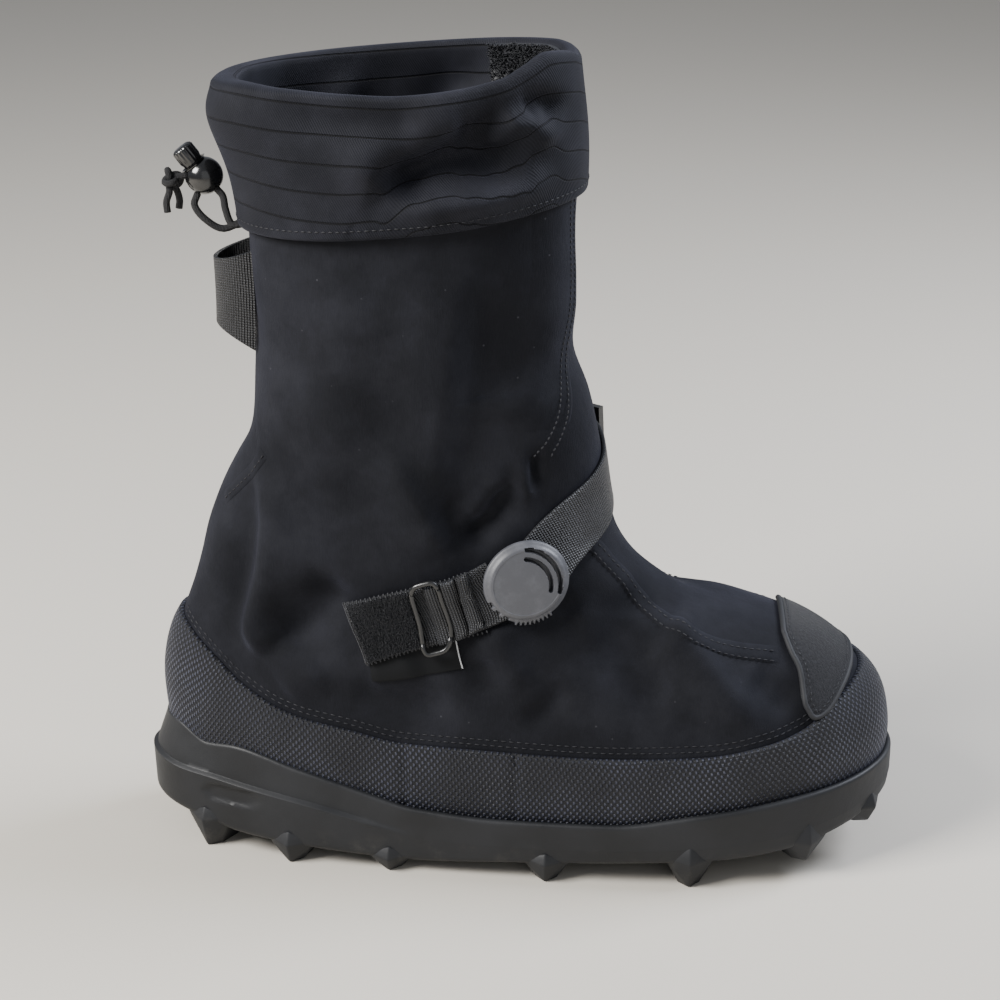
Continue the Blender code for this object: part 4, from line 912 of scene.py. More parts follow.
def layer(name, ring, turn, low, high, around=False):
    """A closed layer of cloth on the upper's folded face, over a grid of rings and turns."""
    base, out = skin(ring, turn), facing(ring, turn, skin)
    low = np.broadcast_to(low, ring.shape)[..., None]
    high = np.broadcast_to(high, ring.shape)[..., None]
    top, bottom = base + out * high, base + out * low
    uv = uv_of(top, around)
    if not around:
        uv = np.concatenate((uv, uv[:, -1:]), axis=1)
    uv = np.concatenate((uv, uv[::-1], uv[:1]))
    return sheet_object(name, np.concatenate((top, bottom[::-1])), uv, around=around)


def ring_at(turn, height, high_ring=8.0):
    """The ring whose face passes height(x) at each turn."""
    low, high = np.zeros_like(turn), np.full_like(turn, high_ring)
    for _ in range(26):
        middle = (low + high) / 2
        point = form(middle, turn)
        under = point[..., 2] < height(point[..., 0] + HEEL_CENTRE)
        low, high = np.where(under, middle, low), np.where(under, high, middle)
    return (low + high) / 2


UPPER_TURNS = 300
UPPER_ROWS = 130
NYLON_DARK = (0.0060, 0.0064, 0.0084)
NYLON_LIGHT = (0.0172, 0.0180, 0.0232)
NYLON_SHEEN = (0.55, 0.58, 0.85)
NYLON_THREAD = 0.00042     # thickness of a thread
LINT_COLOUR = (0.10, 0.10, 0.115)


def nylon_paint():
    """Heavy nylon: fine upright threads, a soft bloom of dust and a few specks of lint."""
    paint = Paint("nylon_cloth", Roughness=0.82, Sheen_Weight=0.08, Sheen_Roughness=0.45,
                  Sheen_Tint=NYLON_SHEEN, Specular_IOR_Level=0.12)
    spot = paint.place()
    threads = paint.noise(1 / NYLON_THREAD, 3, paint.place((1.0, 1.0, 0.12)), 0.7)
    cross = paint.noise(1 / NYLON_THREAD, 2, paint.place((0.25, 0.25, 1.3)), 0.6)
    bloom = paint.noise(22, 5, spot, 0.6).over(0.38, 0.72)
    specks = paint.node("ShaderNodeTexVoronoi", {"Vector": spot, "Scale": 130, "Randomness": 1.0})
    lint = (1 - specks.over(0.030, 0.075)) * paint.noise(9, 1, spot).over(0.48, 0.56)
    tone = paint.blend(bloom * 0.75 + threads.over(0.35, 0.75) * 0.25, NYLON_DARK, NYLON_LIGHT)
    paint.put("Base Color", paint.blend(lint * 0.35, tone, LINT_COLOUR))
    fine = paint.relief(threads * 0.65 + cross * 0.35, 0.00022)
    paint.put("Normal", paint.relief(paint.noise(75, 3, spot), 0.0006, fine))
    return paint


NYLON = nylon_paint()
upper_grid = np.meshgrid(np.linspace(0, TOP_RING, UPPER_ROWS), np.arange(UPPER_TURNS) / UPPER_TURNS,
                         indexing="ij")
dress(layer("upper_shell", *upper_grid, -UPPER_WALL, 0.0, around=True), NYLON, "nylon_cloth", "upper")


# Bumper
# Wide band of coarse basket woven nylon round the foot, its lower edge under the sole's lip. It is
# seamed twice on the outer side, once on the inner, and puffs out a little over the lip.
Edge = namedtuple("Edge", "at top")
BUMPER_EDGE = (
    Edge(0.000, 0.316), Edge(0.054, 0.303), Edge(0.092, 0.274), Edge(0.137, 0.233), Edge(0.203, 0.203),
    Edge(0.281, 0.189), Edge(0.352, 0.174), Edge(0.439, 0.171), Edge(0.606, 0.168), Edge(0.734, 0.172),
    Edge(0.809, 0.183), Edge(0.863, 0.196), Edge(0.902, 0.217), Edge(0.945, 0.240), Edge(1.000, 0.262),
)
BUMPER_TUCK = 0.006
BUMPER_PUFF = 0.0022
BUMPER_SEAMS = (0.353, 0.498)     # places along the outer side, shares of LENGTH
BUMPER_SEAM_DEPTH = 0.0012
BUMPER_TURNS = 520
BUMPER_ROWS = 30
WEAVE_PITCH = (0.0027, 0.0035)    # basket weave's repeat round the foot and up it
WEAVE_STRAND = 0.00045
BUMPER_DARK = (0.0042, 0.0046, 0.0064)
# colour of the painted highlight on the tops of the weave's pads
BUMPER_PAINTED_HIGHLIGHT = (0.052, 0.056, 0.082)


def bumper_height(x):
    return HEIGHT * smooth([row.at for row in BUMPER_EDGE], [row.top for row in BUMPER_EDGE], x / LENGTH)


def bumper_paint():
    paint = Paint("bumper_weave", Specular_IOR_Level=0.35, Sheen_Weight=0.1, Sheen_Roughness=0.4,
                  Sheen_Tint=(0.55, 0.6, 0.9))
    u, v = paint.along()
    wobble = paint.noise(70, 2) * 0.0009
    pads = (u + wobble).waves(WEAVE_PITCH[0]) * (v + wobble).waves(WEAVE_PITCH[1])
    strands = u.waves(WEAVE_STRAND) * 0.5 + 0.5
    pillows = pads.over(-0.15, 0.95)
    worn = paint.noise(24, 4).over(0.38, 0.66)
    # the raised pads get a painted highlight in the base colour; the worn noise varies its strength in
    # patches
    paint.put("Base Color", paint.blend(pillows * (0.25 + worn * 0.75), BUMPER_DARK, BUMPER_PAINTED_HIGHLIGHT))
    paint.put("Roughness", 0.64 - pillows * 0.26)
    fine = paint.relief(strands, 0.00006)
    paint.put("Normal", paint.relief(pillows, 0.00075, fine))
    return paint


def bumper_band():
    """From under the lip up to its folded top edge, puffed out and pinched at its seams."""
    turn = np.arange(BUMPER_TURNS) / BUMPER_TURNS
    low = ring_at(turn, raised(lip_height, -BUMPER_TUCK))
    high = ring_at(turn, bumper_height)
    share = np.concatenate((np.linspace(0, 0.965, BUMPER_ROWS - 3), (0.980, 0.992, 1.0)))
    ring = low + (high - low) * share[:, None]
    turn = np.broadcast_to(turn, ring.shape)
    x = form(ring, turn)[..., 0] + HEEL_CENTRE
    puff = BUMPER_PUFF * np.sin(np.pi * np.clip(share[:, None] * 1.12 - 0.12, 0, 1)) ** 0.8
    puff = puff * (0.8 + 0.2 * np.sin(150 * x) * np.sin(90 * x + 1))
    for at in BUMPER_SEAMS:
        puff = puff - np.where(turn < 0.5, BUMPER_SEAM_DEPTH * np.exp(-((x / LENGTH - at) / 0.004) ** 2), 0.0)
    edge = np.ones(BUMPER_ROWS)
    edge[-3:] = (0.9, 0.65, 0.25)
    edge[0] = 0.3
    lift = GAP + BUMPER_WALL * edge[:, None] + puff * (share[:, None] > 0.02)
    return layer("bumper_band", ring, turn, GAP, lift, around=True)


dress(bumper_band(), bumper_paint(), "bumper_weave", "bumper")


# Panels and seams
# The outer panel laps over the gusset down the front of the shaft, hemmed with two rows of stitches. The
# vamp and the heel have lapped seams, and two rows of stitches run above the bumper.
Stitch = namedtuple("Stitch", "spacing length thick")
SEAM_STITCH = Stitch(0.0031, 0.0021, 0.00055)
FLAP_STITCH = Stitch(0.0024, 0.0016, 0.00070)
BUMPER_STITCH = Stitch(0.0034, 0.0024, 0.00055)
THREAD_COLOUR = (0.0095, 0.0100, 0.0140)
FLAP_WALL = 0.0016
FLAP_EDGE = ((-0.250, 0.530), (-0.250, 0.545), (-0.235, 0.560), (-0.190, 0.600), (-0.125, 0.660),
             (-0.108, 0.720), (-0.100, 0.780), (-0.100, 0.860), (-0.100, 1.100))
FLAP_WIDTH = 0.026
FLAP_GRID = (90, 26)
FLAP_LOW = 12.05                         # ring of its lower end
FLAP_STITCHED = (12.15, 17.6)            # rings between which it is stitched
FLAP_STITCH_ROWS = (0.0030, 0.0062)      # from the panel's edge
VAMP_SEAM = ((0.590, 0.424), (0.601, 0.409), (0.630, 0.375), (0.656, 0.349), (0.684, 0.329), (0.714, 0.313),
             (0.746, 0.301), (0.792, 0.290), (0.838, 0.281))
VAMP_SEAM_HALF = 0.0040
VAMP_SEAM_LIFT = 0.0007
HEEL_SEAM = ((0.178, 0.536), (0.160, 0.512), (0.141, 0.492), (0.118, 0.464))
HEEL_SEAM_HALF = 0.0030
HEEL_SEAM_LIFT = 0.0006
SEAM_SEAT = 0.00005                      # a seam's underside over the skin
THREAD_LIFT = 0.00015                    # a thread's middle over its seam
BUMPER_STITCH_ROWS = (0.0026, 0.0052)    # above the bumper's edge


def tree_with(name, output, **inputs):
    """A node tree with named inputs and one output of geometry."""
    tree = bpy.data.node_groups.new(name, "GeometryNodeTree")
    for label, kind in inputs.items():
        tree.interface.new_socket(label, in_out="INPUT", socket_type="NodeSocket" + kind)
    tree.interface.new_socket(output, in_out="OUTPUT", socket_type="NodeSocketGeometry")
    return tree


def node_in(tree, kind, sockets=None, **settings):
    """Adds a node, links or sets its inputs and gives its outputs."""
    made = tree.nodes.new(kind)
    for key, value in settings.items():
        setattr(made, key, value)
    for key, value in (sockets or {}).items():
        if isinstance(value, bpy.types.NodeSocket):
            tree.links.new(value, made.inputs[key])
        else:
            made.inputs[key].default_value = value
    return made.outputs


def copies_in(tree, given, dots, direction, bead):
    """Ends a tree: a bead at each dot, scaled, turned along a direction, made real and given its material."""
    thick, long = given["Thickness"], given["Length"]
    size = node_in(tree, "ShaderNodeCombineXYZ", {"X": thick, "Y": thick, "Z": long})["Vector"]
    turn = node_in(tree, "FunctionNodeAlignRotationToVector", {"Vector": direction}, axis="Z")["Rotation"]
    placing = {"Points": dots, "Instance": bead["Mesh"], "Rotation": turn, "Scale": size}
    copies = node_in(tree, "GeometryNodeInstanceOnPoints", placing)
    real = node_in(tree, "GeometryNodeRealizeInstances", {"Geometry": copies["Instances"]})
    finish = {"Geometry": real["Geometry"], "Material": given["Material"]}
    node_in(tree, "NodeGroupOutput", {0: node_in(tree, "GeometryNodeSetMaterial", finish)["Geometry"]})


def stitch_tree():
    """Repeats one short thread along the edges of a line mesh."""
    tree = tree_with("stitch_row", "Threads", Line="Geometry", Spacing="Float", Length="Float",
                     Thickness="Float", Material="Material")
    given = node_in(tree, "NodeGroupInput")
    curve = node_in(tree, "GeometryNodeMeshToCurve", {"Mesh": given["Line"]})
    dots = node_in(tree, "GeometryNodeCurveToPoints", {"Curve": curve["Curve"], "Length": given["Spacing"]},
                   mode="LENGTH")
    bead = node_in(tree, "GeometryNodeMeshUVSphere", {"Segments": 6, "Rings": 4, "Radius": 0.5})
    copies_in(tree, given, dots["Points"], dots["Tangent"], bead)
    return tree


STITCH_TREE = stitch_tree()
THREAD = Paint("thread", Base_Color=THREAD_COLOUR, Roughness=0.6)


def grown(name, source, tree, **values):
    """Runs a node tree on a mesh object and keeps what it makes as a plain mesh."""
    modifier = source.modifiers.new(name, "NODES")
    modifier.node_group = tree
    for item in tree.interface.items_tree:
        if item.in_out == "INPUT" and item.name in values:
            modifier[item.identifier] = values[item.name]
    graph = bpy.context.evaluated_depsgraph_get()
    graph.update()
    mesh = bpy.data.meshes.new_from_object(source.evaluated_get(graph))
    mesh.name = name
    bpy.data.objects.remove(source)
    mesh.shade_smooth()
    return mesh_object(name, mesh)


def stitches(name, lines, stitch=SEAM_STITCH, paint=THREAD):
    """Rows of stitches along lines of points, as one piece."""
    points, edges = [], []
    for line in lines:
        edges += [(len(points) + k, len(points) + k + 1) for k in range(len(line) - 1)]
        points += [tuple(p) for p in line]
    mesh = bpy.data.meshes.new(name)
    mesh.from_pydata(points, edges, [])
    piece = grown(name, mesh_object(name, mesh), STITCH_TREE, Spacing=stitch.spacing, Length=stitch.length,
                  Thickness=stitch.thick, Material=paint.material)
    return dress(piece, None, None)


def pulled(goal, ring, turn, weights=(1.0, 1.0, 1.0), steps=12):
    """The ring and turn on the form nearest to goal points, from first guesses."""
    ring, turn, weights = np.array(ring, float), np.array(turn, float), np.array(weights)
    for _ in range(steps):
        base = form(ring, turn)
        a = (form(ring + 0.01, turn) - base) * weights / 0.01
        b = (form(ring, turn + 0.0004) - base) * weights / 0.0004
        miss = (goal - base) * weights
        aa, ab, bb = (a * a).sum(-1), (a * b).sum(-1), (b * b).sum(-1)
        am, bm = (a * miss).sum(-1), (b * miss).sum(-1)
        scale = np.maximum(aa * bb - ab * ab, 1e-18)
        ring = np.clip(ring + np.clip((am * bb - bm * ab) / scale, -1, 1), 0.0, TOP_RING)
        turn = turn + np.clip((bm * aa - am * ab) / scale, -0.04, 0.04)
    return ring, turn


def on_side(side, points):
    """Ring and turn of points given in the side view as shares of LENGTH and HEIGHT."""
    points = np.asarray(points, float)
    x, z = points[:, 0] * LENGTH - HEEL_CENTRE, points[:, 1] * HEIGHT
    low, high = (0.02, 0.48) if side < 0 else (0.52, 0.98)
    rings, turns = np.meshgrid(np.linspace(0.2, TOP_RING, 60), np.linspace(low, high, 60), indexing="ij")
    places = form(rings, turns).reshape(-1, 3)
    best = ((places[:, 0] - x[:, None]) ** 2 + (places[:, 2] - z[:, None]) ** 2).argmin(1)
    goal = np.column_stack((x, np.zeros(len(x)), z))
    return pulled(goal, rings.ravel()[best], turns.ravel()[best], (1.0, 0.0, 1.0))


def route(side, points, count):
    """A smooth line on the skin through points of the side view: rings and turns."""
    ring, turn = on_side(side, points)
    spots = flowing(np.column_stack((ring, turn)), np.linspace(0, len(points) - 1, count))
    return spots[:, 0], spots[:, 1]


def turn_at(ring, y_of):
    """The turn on the outer front where the form reaches y_of(z)."""
    low, high = np.full_like(ring, 0.25), np.full_like(ring, 0.5)
    for _ in range(26):
        middle = (low + high) / 2
        point = form(ring, middle)
        before = point[..., 1] < y_of(point[..., 2])
        low, high = np.where(before, middle, low), np.where(before, high, middle)
    return (low + high) / 2


def flap_y(back):
    """The panel's edge, or a line at a distance back from it, over the height."""
    ys, zs = np.array(FLAP_EDGE).T * ((BALL_WIDTH,), (HEIGHT,))
    return lambda z: smooth(zs, ys, z) - back


def flap_panel():
    """Full thickness at its edge, and sunk into the skin at its back and at its lower end."""
    rows, columns = FLAP_GRID
    ring = np.linspace(FLAP_LOW, TOP_RING, rows)
    edge, back = turn_at(ring, flap_y(0.0)), turn_at(ring, flap_y(FLAP_WIDTH))
    share = np.concatenate((np.linspace(0, 0.94, columns - 4), (0.965, 0.982, 0.993, 1.0)))
    turn = back[:, None] + (edge - back)[:, None] * share
    thick = np.clip(share / 0.6, 0, 1) ** 1.3 * 0.85 + 0.15
    thick[-3:] = (0.92, 0.7, 0.3)
    low_end = np.clip(np.arange(rows) / 16.0, 0.0, 1)[:, None]
    low = GAP * 0.5 - 0.0014 * np.maximum(1 - share / 0.45, 0) - 0.0020 * (1 - low_end)
    ring = np.broadcast_to(ring[:, None], turn.shape)
    return layer("front_panel_edge", ring, turn, low, low + FLAP_WALL * thick * low_end)


def lapped(name, side, points, count, half, lift):
    """A low lapped seam along a line of the side view, and its grid of rings and turns."""
    ring, turn = route(side, points, count)
    base = form(ring, turn)
    run = np.gradient(base, axis=0)
    run /= np.linalg.norm(run, axis=1)[:, None]
    cross = np.cross(facing(ring, turn, form), run)
    offsets = np.array((-1.0, -0.8, -0.3, 0.3, 0.8, 1.0))
    goal = base[:, None] + cross[:, None] * offsets[:, None] * half
    grid = pulled(goal, np.repeat(ring[:, None], 6, 1), np.repeat(turn[:, None], 6, 1), steps=5)
    rise = lift * np.array((0.1, 0.75, 1.0, 1.0, 0.75, 0.1))
    ends = np.clip(np.minimum(np.arange(count), np.arange(count)[::-1]) / 3.0, 0.1, 1)[:, None]
    dress(layer(name, *grid, SEAM_SEAT, SEAM_SEAT + rise * ends), NYLON, "nylon_cloth")
    return grid


def thread_line(grid, column, lift):
    """A line for stitches along a seam, clear of both its ends."""
    return skin(grid[0][2:-2, column], grid[1][2:-2, column], lift + THREAD_LIFT)


dress(flap_panel(), NYLON, "nylon_cloth", "front_flap")
flap_rings = np.linspace(*FLAP_STITCHED, 110)
stitches("front_panel_stitches", [skin(flap_rings, turn_at(flap_rings, flap_y(back)), FLAP_WALL + GAP)
                                  for back in FLAP_STITCH_ROWS], FLAP_STITCH)

seam_lines = []
for side, name in ((-1, "outer"), (1, "inner")):
    seam = lapped(f"vamp_seam_{name}", side, VAMP_SEAM, 70, VAMP_SEAM_HALF, VAMP_SEAM_LIFT)
    seam_lines += [thread_line(seam, column, VAMP_SEAM_LIFT) for column in (1, 3)]
    seam = lapped(f"heel_seam_{name}", side, HEEL_SEAM, 40, HEEL_SEAM_HALF, HEEL_SEAM_LIFT)
    seam_lines.append(thread_line(seam, 3, HEEL_SEAM_LIFT))
stitches("seam_stitches", seam_lines)

row_lines = []
for above in BUMPER_STITCH_ROWS:
    for ends in ((0.03, 0.452), (0.548, 0.97)):
        row_turns = np.linspace(*ends, 300)
        row_lines.append(skin(ring_at(row_turns, raised(bumper_height, above)), row_turns, 0.0001))
stitches("bumper_stitches", row_lines, BUMPER_STITCH)


# Cuff
# Collar of ripstop twill folded outwards over the shaft, its hem higher at the front, with the drawcord
# inside. It is crumpled over the front half of the outer side.
CUFF_WALL = 0.0022
CUFF_HEM = ((-0.20, 0.802), (0.20, 0.810), (0.30, 0.816), (0.42, 0.827), (0.58, 0.850), (0.80, 0.868))
CUFF_FLARE = 0.0075
CUFF_INNER = 16.2                    # ring of the inner leg's lower end
CUFF_TURNS = 320
CUFF_INSIDE = 0.0010                 # wall of the inner leg
CUFF_CROWN = 0.0016                  # height of the rounded top
CUFF_LIFT = FLAP_WALL + 2 * GAP      # the outer leg's underside over the skin
HEM_STITCH = Stitch(0.0030, 0.0021, 0.00055)
HEM_ROW = 0.0042
RIPSTOP = 0.0118
RIPSTOP_COLOUR = (0.0022, 0.0023, 0.0030)
TWILL_PITCH = 0.00105
TWILL_SLANT = 0.55
TWILL_DARK = (0.0058, 0.0063, 0.0090)
TWILL_LIGHT = (0.0180, 0.0188, 0.0255)


def cuff_flare(ring, turn):
    """How far the cuff stands out further at the heel side."""
    back = np.maximum(np.cos(2 * np.pi * turn), 0.0) ** 2
    return CUFF_FLARE * back * np.exp(-((ring - TOP_RING + 0.7) / 0.9) ** 2)


def hem_height(x):
    return HEIGHT * smooth([row[0] for row in CUFF_HEM], [row[1] for row in CUFF_HEM], x / LENGTH)


def cuff_loop():
    """A loop of rings and lifts at each turn: outer leg, rounded top, inner leg and back again."""
    turn = np.arange(CUFF_TURNS) / CUFF_TURNS
    hem = ring_at(turn, hem_height, TOP_RING)
    top = np.full(CUFF_TURNS, TOP_RING - 0.12)
    inner_low = -(UPPER_WALL + GAP)
    inner_high = inner_low - CUFF_INSIDE
    under, outside = CUFF_LIFT, CUFF_LIFT + CUFF_WALL
    path = []

    def add(ring, lift, up=0.0, flared=1.0):
        path.append((ring, lift + flared * cuff_flare(np.minimum(ring, top), turn), up))

    edges = np.concatenate(((0.25, 0.65, 0.9), np.ones(62)))
    for share, edge in zip(np.concatenate(((0.0, 0.006, 0.015), np.linspace(0.03, 0.97, 62))), edges):
        add(hem + (top - hem) * share, under + CUFF_WALL * edge)
    for angle in np.linspace(0.1, 0.9, 9) * math.pi:
        across = (1 + math.cos(angle)) / 2
        add(top + 0.12 * math.sin(angle) ** 0.5, inner_high + (outside - inner_high) * across,
            CUFF_CROWN * math.sin(angle), across)
    inside_leg = len(path)
    for share in np.linspace(0.0, 1.0, 14):
        add(top + (CUFF_INNER - top) * share, inner_high, flared=0.0)
    for share in np.linspace(1.0, 0.0, 10):
        add(top + (CUFF_INNER - top) * share, inner_low, flared=0.0)
    for angle in np.linspace(0.8, 0.2, 5) * math.pi:
        across = (1 + math.cos(angle)) / 2
        add(top + 0.12, inner_low + (under - inner_low) * across, 0.0002, across)
    for share in np.linspace(1.0, 0.0, 24):
        add(hem + (top - hem) * share, under)
    ring, lift = (np.stack([row[k] for row in path]) for k in (0, 1))
    points = skin(ring, np.broadcast_to(turn, ring.shape), lift)
    points[..., 2] += np.array([row[2] for row in path])[:, None]
    uv = uv_of(points, True)
    crown = inside_leg - 6
    uv[..., 1] -= uv[crown:crown + 1, :, 1]
    return sheet_object("cuff_collar", points, np.concatenate((uv, uv[:1])), around=True)


def twill_paint():
    paint = Paint("cuff_twill", Roughness=0.72, Sheen_Weight=0.06, Sheen_Roughness=0.4,
                  Sheen_Tint=(0.6, 0.62, 0.85), Specular_IOR_Level=0.14)
    u, v = paint.along()
    ribs = 1 - ((v / RIPSTOP).part() - 0.5).size().over(0.020, 0.050)
    twill = (u + v * TWILL_SLANT).waves(TWILL_PITCH) * 0.5 + 0.5
    bloom = paint.noise(26, 5, roughness=0.6).over(0.38, 0.72)
    tone = paint.blend(bloom * 0.7 + twill * 0.3, TWILL_DARK, TWILL_LIGHT)
    paint.put("Base Color", paint.blend(ribs * 0.85, tone, RIPSTOP_COLOUR))
    fine = paint.relief(twill, 0.00012)
    paint.put("Normal", paint.relief(1 - ribs, 0.0007, fine))
    return paint


dress(cuff_loop(), twill_paint(), "cuff_twill", "cuff")
hem_turns = np.linspace(0, 1, 520)
hem_rings = ring_at(hem_turns, raised(hem_height, HEM_ROW), TOP_RING)
hem_lift = CUFF_LIFT + CUFF_WALL + 0.0001 + cuff_flare(hem_rings, hem_turns)
stitches("cuff_hem_stitches", [skin(hem_rings, hem_turns, hem_lift)], HEM_STITCH)


# Hook tape
# A patch of stiff plastic hooks inside the collar's front, on the inner side of the foot, where the flap
# closes.
TAPE_Y = (0.0060, 0.0400)
TAPE_RINGS = (17.90, 19.00)
TAPE_LIFT = (-0.0047, -0.0034)
FUZZ_COLOUR = (0.016, 0.017, 0.021)
Fuzz = namedtuple("Fuzz", "count length thick seed")
TAPE_FUZZ = Fuzz(2600, 0.0021, 0.00050, 3)


def fuzz_tree():
    """Scatters short tapered fibres over a sheet, each leaning its own way."""
    tree = tree_with("fuzz", "Fibres", Sheet="Geometry", Density="Float", Length="Float", Thickness="Float",
                     Seed="Int", Material="Material")
    given = node_in(tree, "NodeGroupInput")
    spread = {"Mesh": given["Sheet"], "Density": given["Density"], "Seed": given["Seed"]}
    dots = node_in(tree, "GeometryNodeDistributePointsOnFaces", spread)
    lean = node_in(tree, "FunctionNodeRandomValue", {0: (-0.7, -0.7, -0.7), 1: (0.7, 0.7, 0.7)},
                   data_type="FLOAT_VECTOR")
    leaning = node_in(tree, "ShaderNodeVectorMath", {0: dots["Normal"], 1: lean[0]}, operation="ADD")
    cone = node_in(tree, "GeometryNodeMeshCone", {"Vertices": 4, "Radius Top": 0.2, "Radius Bottom": 0.5,
                                                  "Depth": 1.0})
    copies_in(tree, given, dots["Points"], leaning["Vector"], cone)
    return tree


FUZZ_TREE = fuzz_tree()
FUZZ_PAINT = Paint("hook_fuzz", Base_Color=FUZZ_COLOUR, Roughness=0.55)


def fuzzed(name, points, fuzz, out):
    """Fibres on an open grid of points, standing towards out."""
    rows, columns = points.shape[:2]
    faces = [(a * columns + b, a * columns + b + 1, (a + 1) * columns + b + 1, (a + 1) * columns + b)
             for a in range(rows - 1) for b in range(columns - 1)]
    mesh = bpy.data.meshes.new(name)
    mesh.from_pydata(points.reshape(-1, 3).tolist(), [], faces)
    area = sum(face.area for face in mesh.polygons)
    if sum(face.normal.dot(out) for face in mesh.polygons) < 0:
        mesh.flip_normals()
    piece = grown(name, mesh_object(name, mesh), FUZZ_TREE, Density=fuzz.count / area, Length=fuzz.length,
                  Thickness=fuzz.thick, Seed=fuzz.seed, Material=FUZZ_PAINT.material)
    bm = bmesh.new()
    bm.from_mesh(piece.data)
    bmesh.ops.recalc_face_normals(bm, faces=bm.faces)
    bm.to_mesh(piece.data)
    bm.free()
    return dress(piece, None, "hook_tape")


tape_rings = np.linspace(*TAPE_RINGS, 14)
tape_ends = [1 - turn_at(tape_rings, lambda z, y=y: np.full_like(z, -y)) for y in TAPE_Y]
tape_turns = tape_ends[0][:, None] + (tape_ends[1] - tape_ends[0])[:, None] * np.linspace(0, 1, 24)
tape_grid = np.broadcast_to(tape_rings[:, None], tape_turns.shape), tape_turns
dress(layer("hook_tape_sheet", *tape_grid, *TAPE_LIFT), FUZZ_PAINT, "hook_tape", "hook_tape")
fuzzed("hook_tape_hooks", skin(*tape_grid, TAPE_LIFT[0]), TAPE_FUZZ, Vector((-1.0, -0.3, 0.0)))


# Toe patch
# Felt-like patch over the toe with rounded ends, edged with a raised folded piping. It is sewn to the
# upper through its whole border.
PATCH_WALL = 0.0020
PIPING_RADIUS = 0.00125
PATCH_OUTLINE = (
    (0.842, 0.400), (0.842, 0.297), (0.850, 0.280), (0.860, 0.264), (0.865, 0.246), (0.867, 0.226),
    (0.880, 0.208), (0.899, 0.213), (0.916, 0.230), (0.930, 0.246), (0.938, 0.263), (0.941, 0.400),
)
PATCH_STITCH = Stitch(0.0026, 0.0017, 0.00055)
PATCH_STITCH_INSET = 0.0032
PIPING_INSET = 0.0006
PIPING_COLOUR = (0.012, 0.013, 0.016)
FELT_DARK = (0.0065, 0.0070, 0.0090)
FELT_LIGHT = (0.021, 0.022, 0.027)


def inside_outline(points, outline):
    """Whether points of the side view lie inside a closed outline."""
    x, z = points[..., 0], points[..., 2]
    inside = np.zeros(x.shape, bool)
    for (ax, az), (bx, bz) in zip(outline, outline[1:] + outline[:1]):
        crosses = (az > z) != (bz > z)
        inside ^= crosses & (x < (bx - ax) * (z - az) / (bz - az if bz != az else 1e-9) + ax)
    return inside


def patch_spans():
    """For each turn over the toe, the first and last ring inside the patch's outline."""
    outline = flowing(PATCH_OUTLINE[1:-1], np.linspace(0, len(PATCH_OUTLINE) - 3, 60)).tolist()
    outline = [PATCH_OUTLINE[0]] + outline + [PATCH_OUTLINE[-1]]
    outline = [(a * LENGTH - HEEL_CENTRE, b * HEIGHT) for a, b in outline]
    ring = np.linspace(1.5, 9.0, 900)[:, None]
    turn = np.linspace(0.36, 0.64, 561)
    inside = inside_outline(form(ring, turn[None]), outline)
    used = np.flatnonzero(inside.sum(0) > 14)
    first = inside.argmax(0)
    last = len(ring) - 1 - inside[::-1].argmax(0)
    ends = turn[used[0]], turn[used[-1]]
    shares = (1 - np.cos(np.linspace(0.04, 0.96, 90) * np.pi)) / 2
    turns = ends[0] + (ends[1] - ends[0]) * (shares - shares[0]) / (shares[-1] - shares[0])
    low = np.interp(turns, turn[used], ring[first[used], 0])
    high = np.interp(turns, turn[used], ring[last[used], 0])
    return turns, low, high


def felt_paint():
    paint = Paint("patch_felt", Roughness=0.95, Sheen_Weight=0.15, Sheen_Roughness=0.5,
                  Specular_IOR_Level=0.2)
    nap = paint.noise(900, 4, roughness=0.8)
    paint.put("Base Color", paint.blend(nap.over(0.3, 0.75), FELT_DARK, FELT_LIGHT))
    paint.put("Normal", paint.relief(nap, 0.0005))
    return paint


def patch_loop(turns, low, high, inset, lift):
    """The patch's boundary, a distance inside it."""
    rings = np.concatenate((low, np.linspace(low[-1], high[-1], 8)[1:-1], high[::-1],
                            np.linspace(high[0], low[0], 8)[1:-1]))
    turns = np.concatenate((turns, np.full(6, turns[-1]), turns[::-1], np.full(6, turns[0])))
    points = form(rings, turns)
    run = np.roll(points, -1, 0) - np.roll(points, 1, 0)
    run /= np.linalg.norm(run, axis=1)[:, None]
    inward = np.cross(facing(rings, turns, form), run)
    k = len(low) // 2
    if ((form(np.mean((low + high) / 2), 0.5) - points[k]) * inward[k]).sum() < 0:
        inward = -inward
    return skin(*pulled(points + inward * inset, rings, turns, steps=5), lift)


patch_turns, patch_low, patch_high = patch_spans()
patch_share = np.concatenate(((0.0, 0.02), np.linspace(0.05, 0.95, 22), (0.98, 1.0)))[:, None]
patch_rings = patch_low + (patch_high - patch_low) * patch_share
patch_edge = np.clip(np.minimum(patch_share, 1 - patch_share) / 0.05, 0.3, 1) ** 0.5
patch = layer("toe_patch_felt", patch_rings, np.broadcast_to(patch_turns, patch_rings.shape), GAP,
              GAP + PATCH_WALL * patch_edge)
dress(patch, felt_paint(), "patch_felt", "toe_patch")
piping_line = patch_loop(patch_turns, patch_low, patch_high, PIPING_INSET, PATCH_WALL * 0.75)
piping = tube("toe_patch_piping", piping_line, PIPING_RADIUS, 10)
dress(piping, Paint("patch_piping", Base_Color=PIPING_COLOUR, Roughness=0.7), "patch_piping", "toe_piping")
patch_line = patch_loop(patch_turns, patch_low, patch_high, PATCH_STITCH_INSET, PATCH_WALL + GAP + 0.0001)
stitches("toe_patch_stitches", [patch_line], PATCH_STITCH)


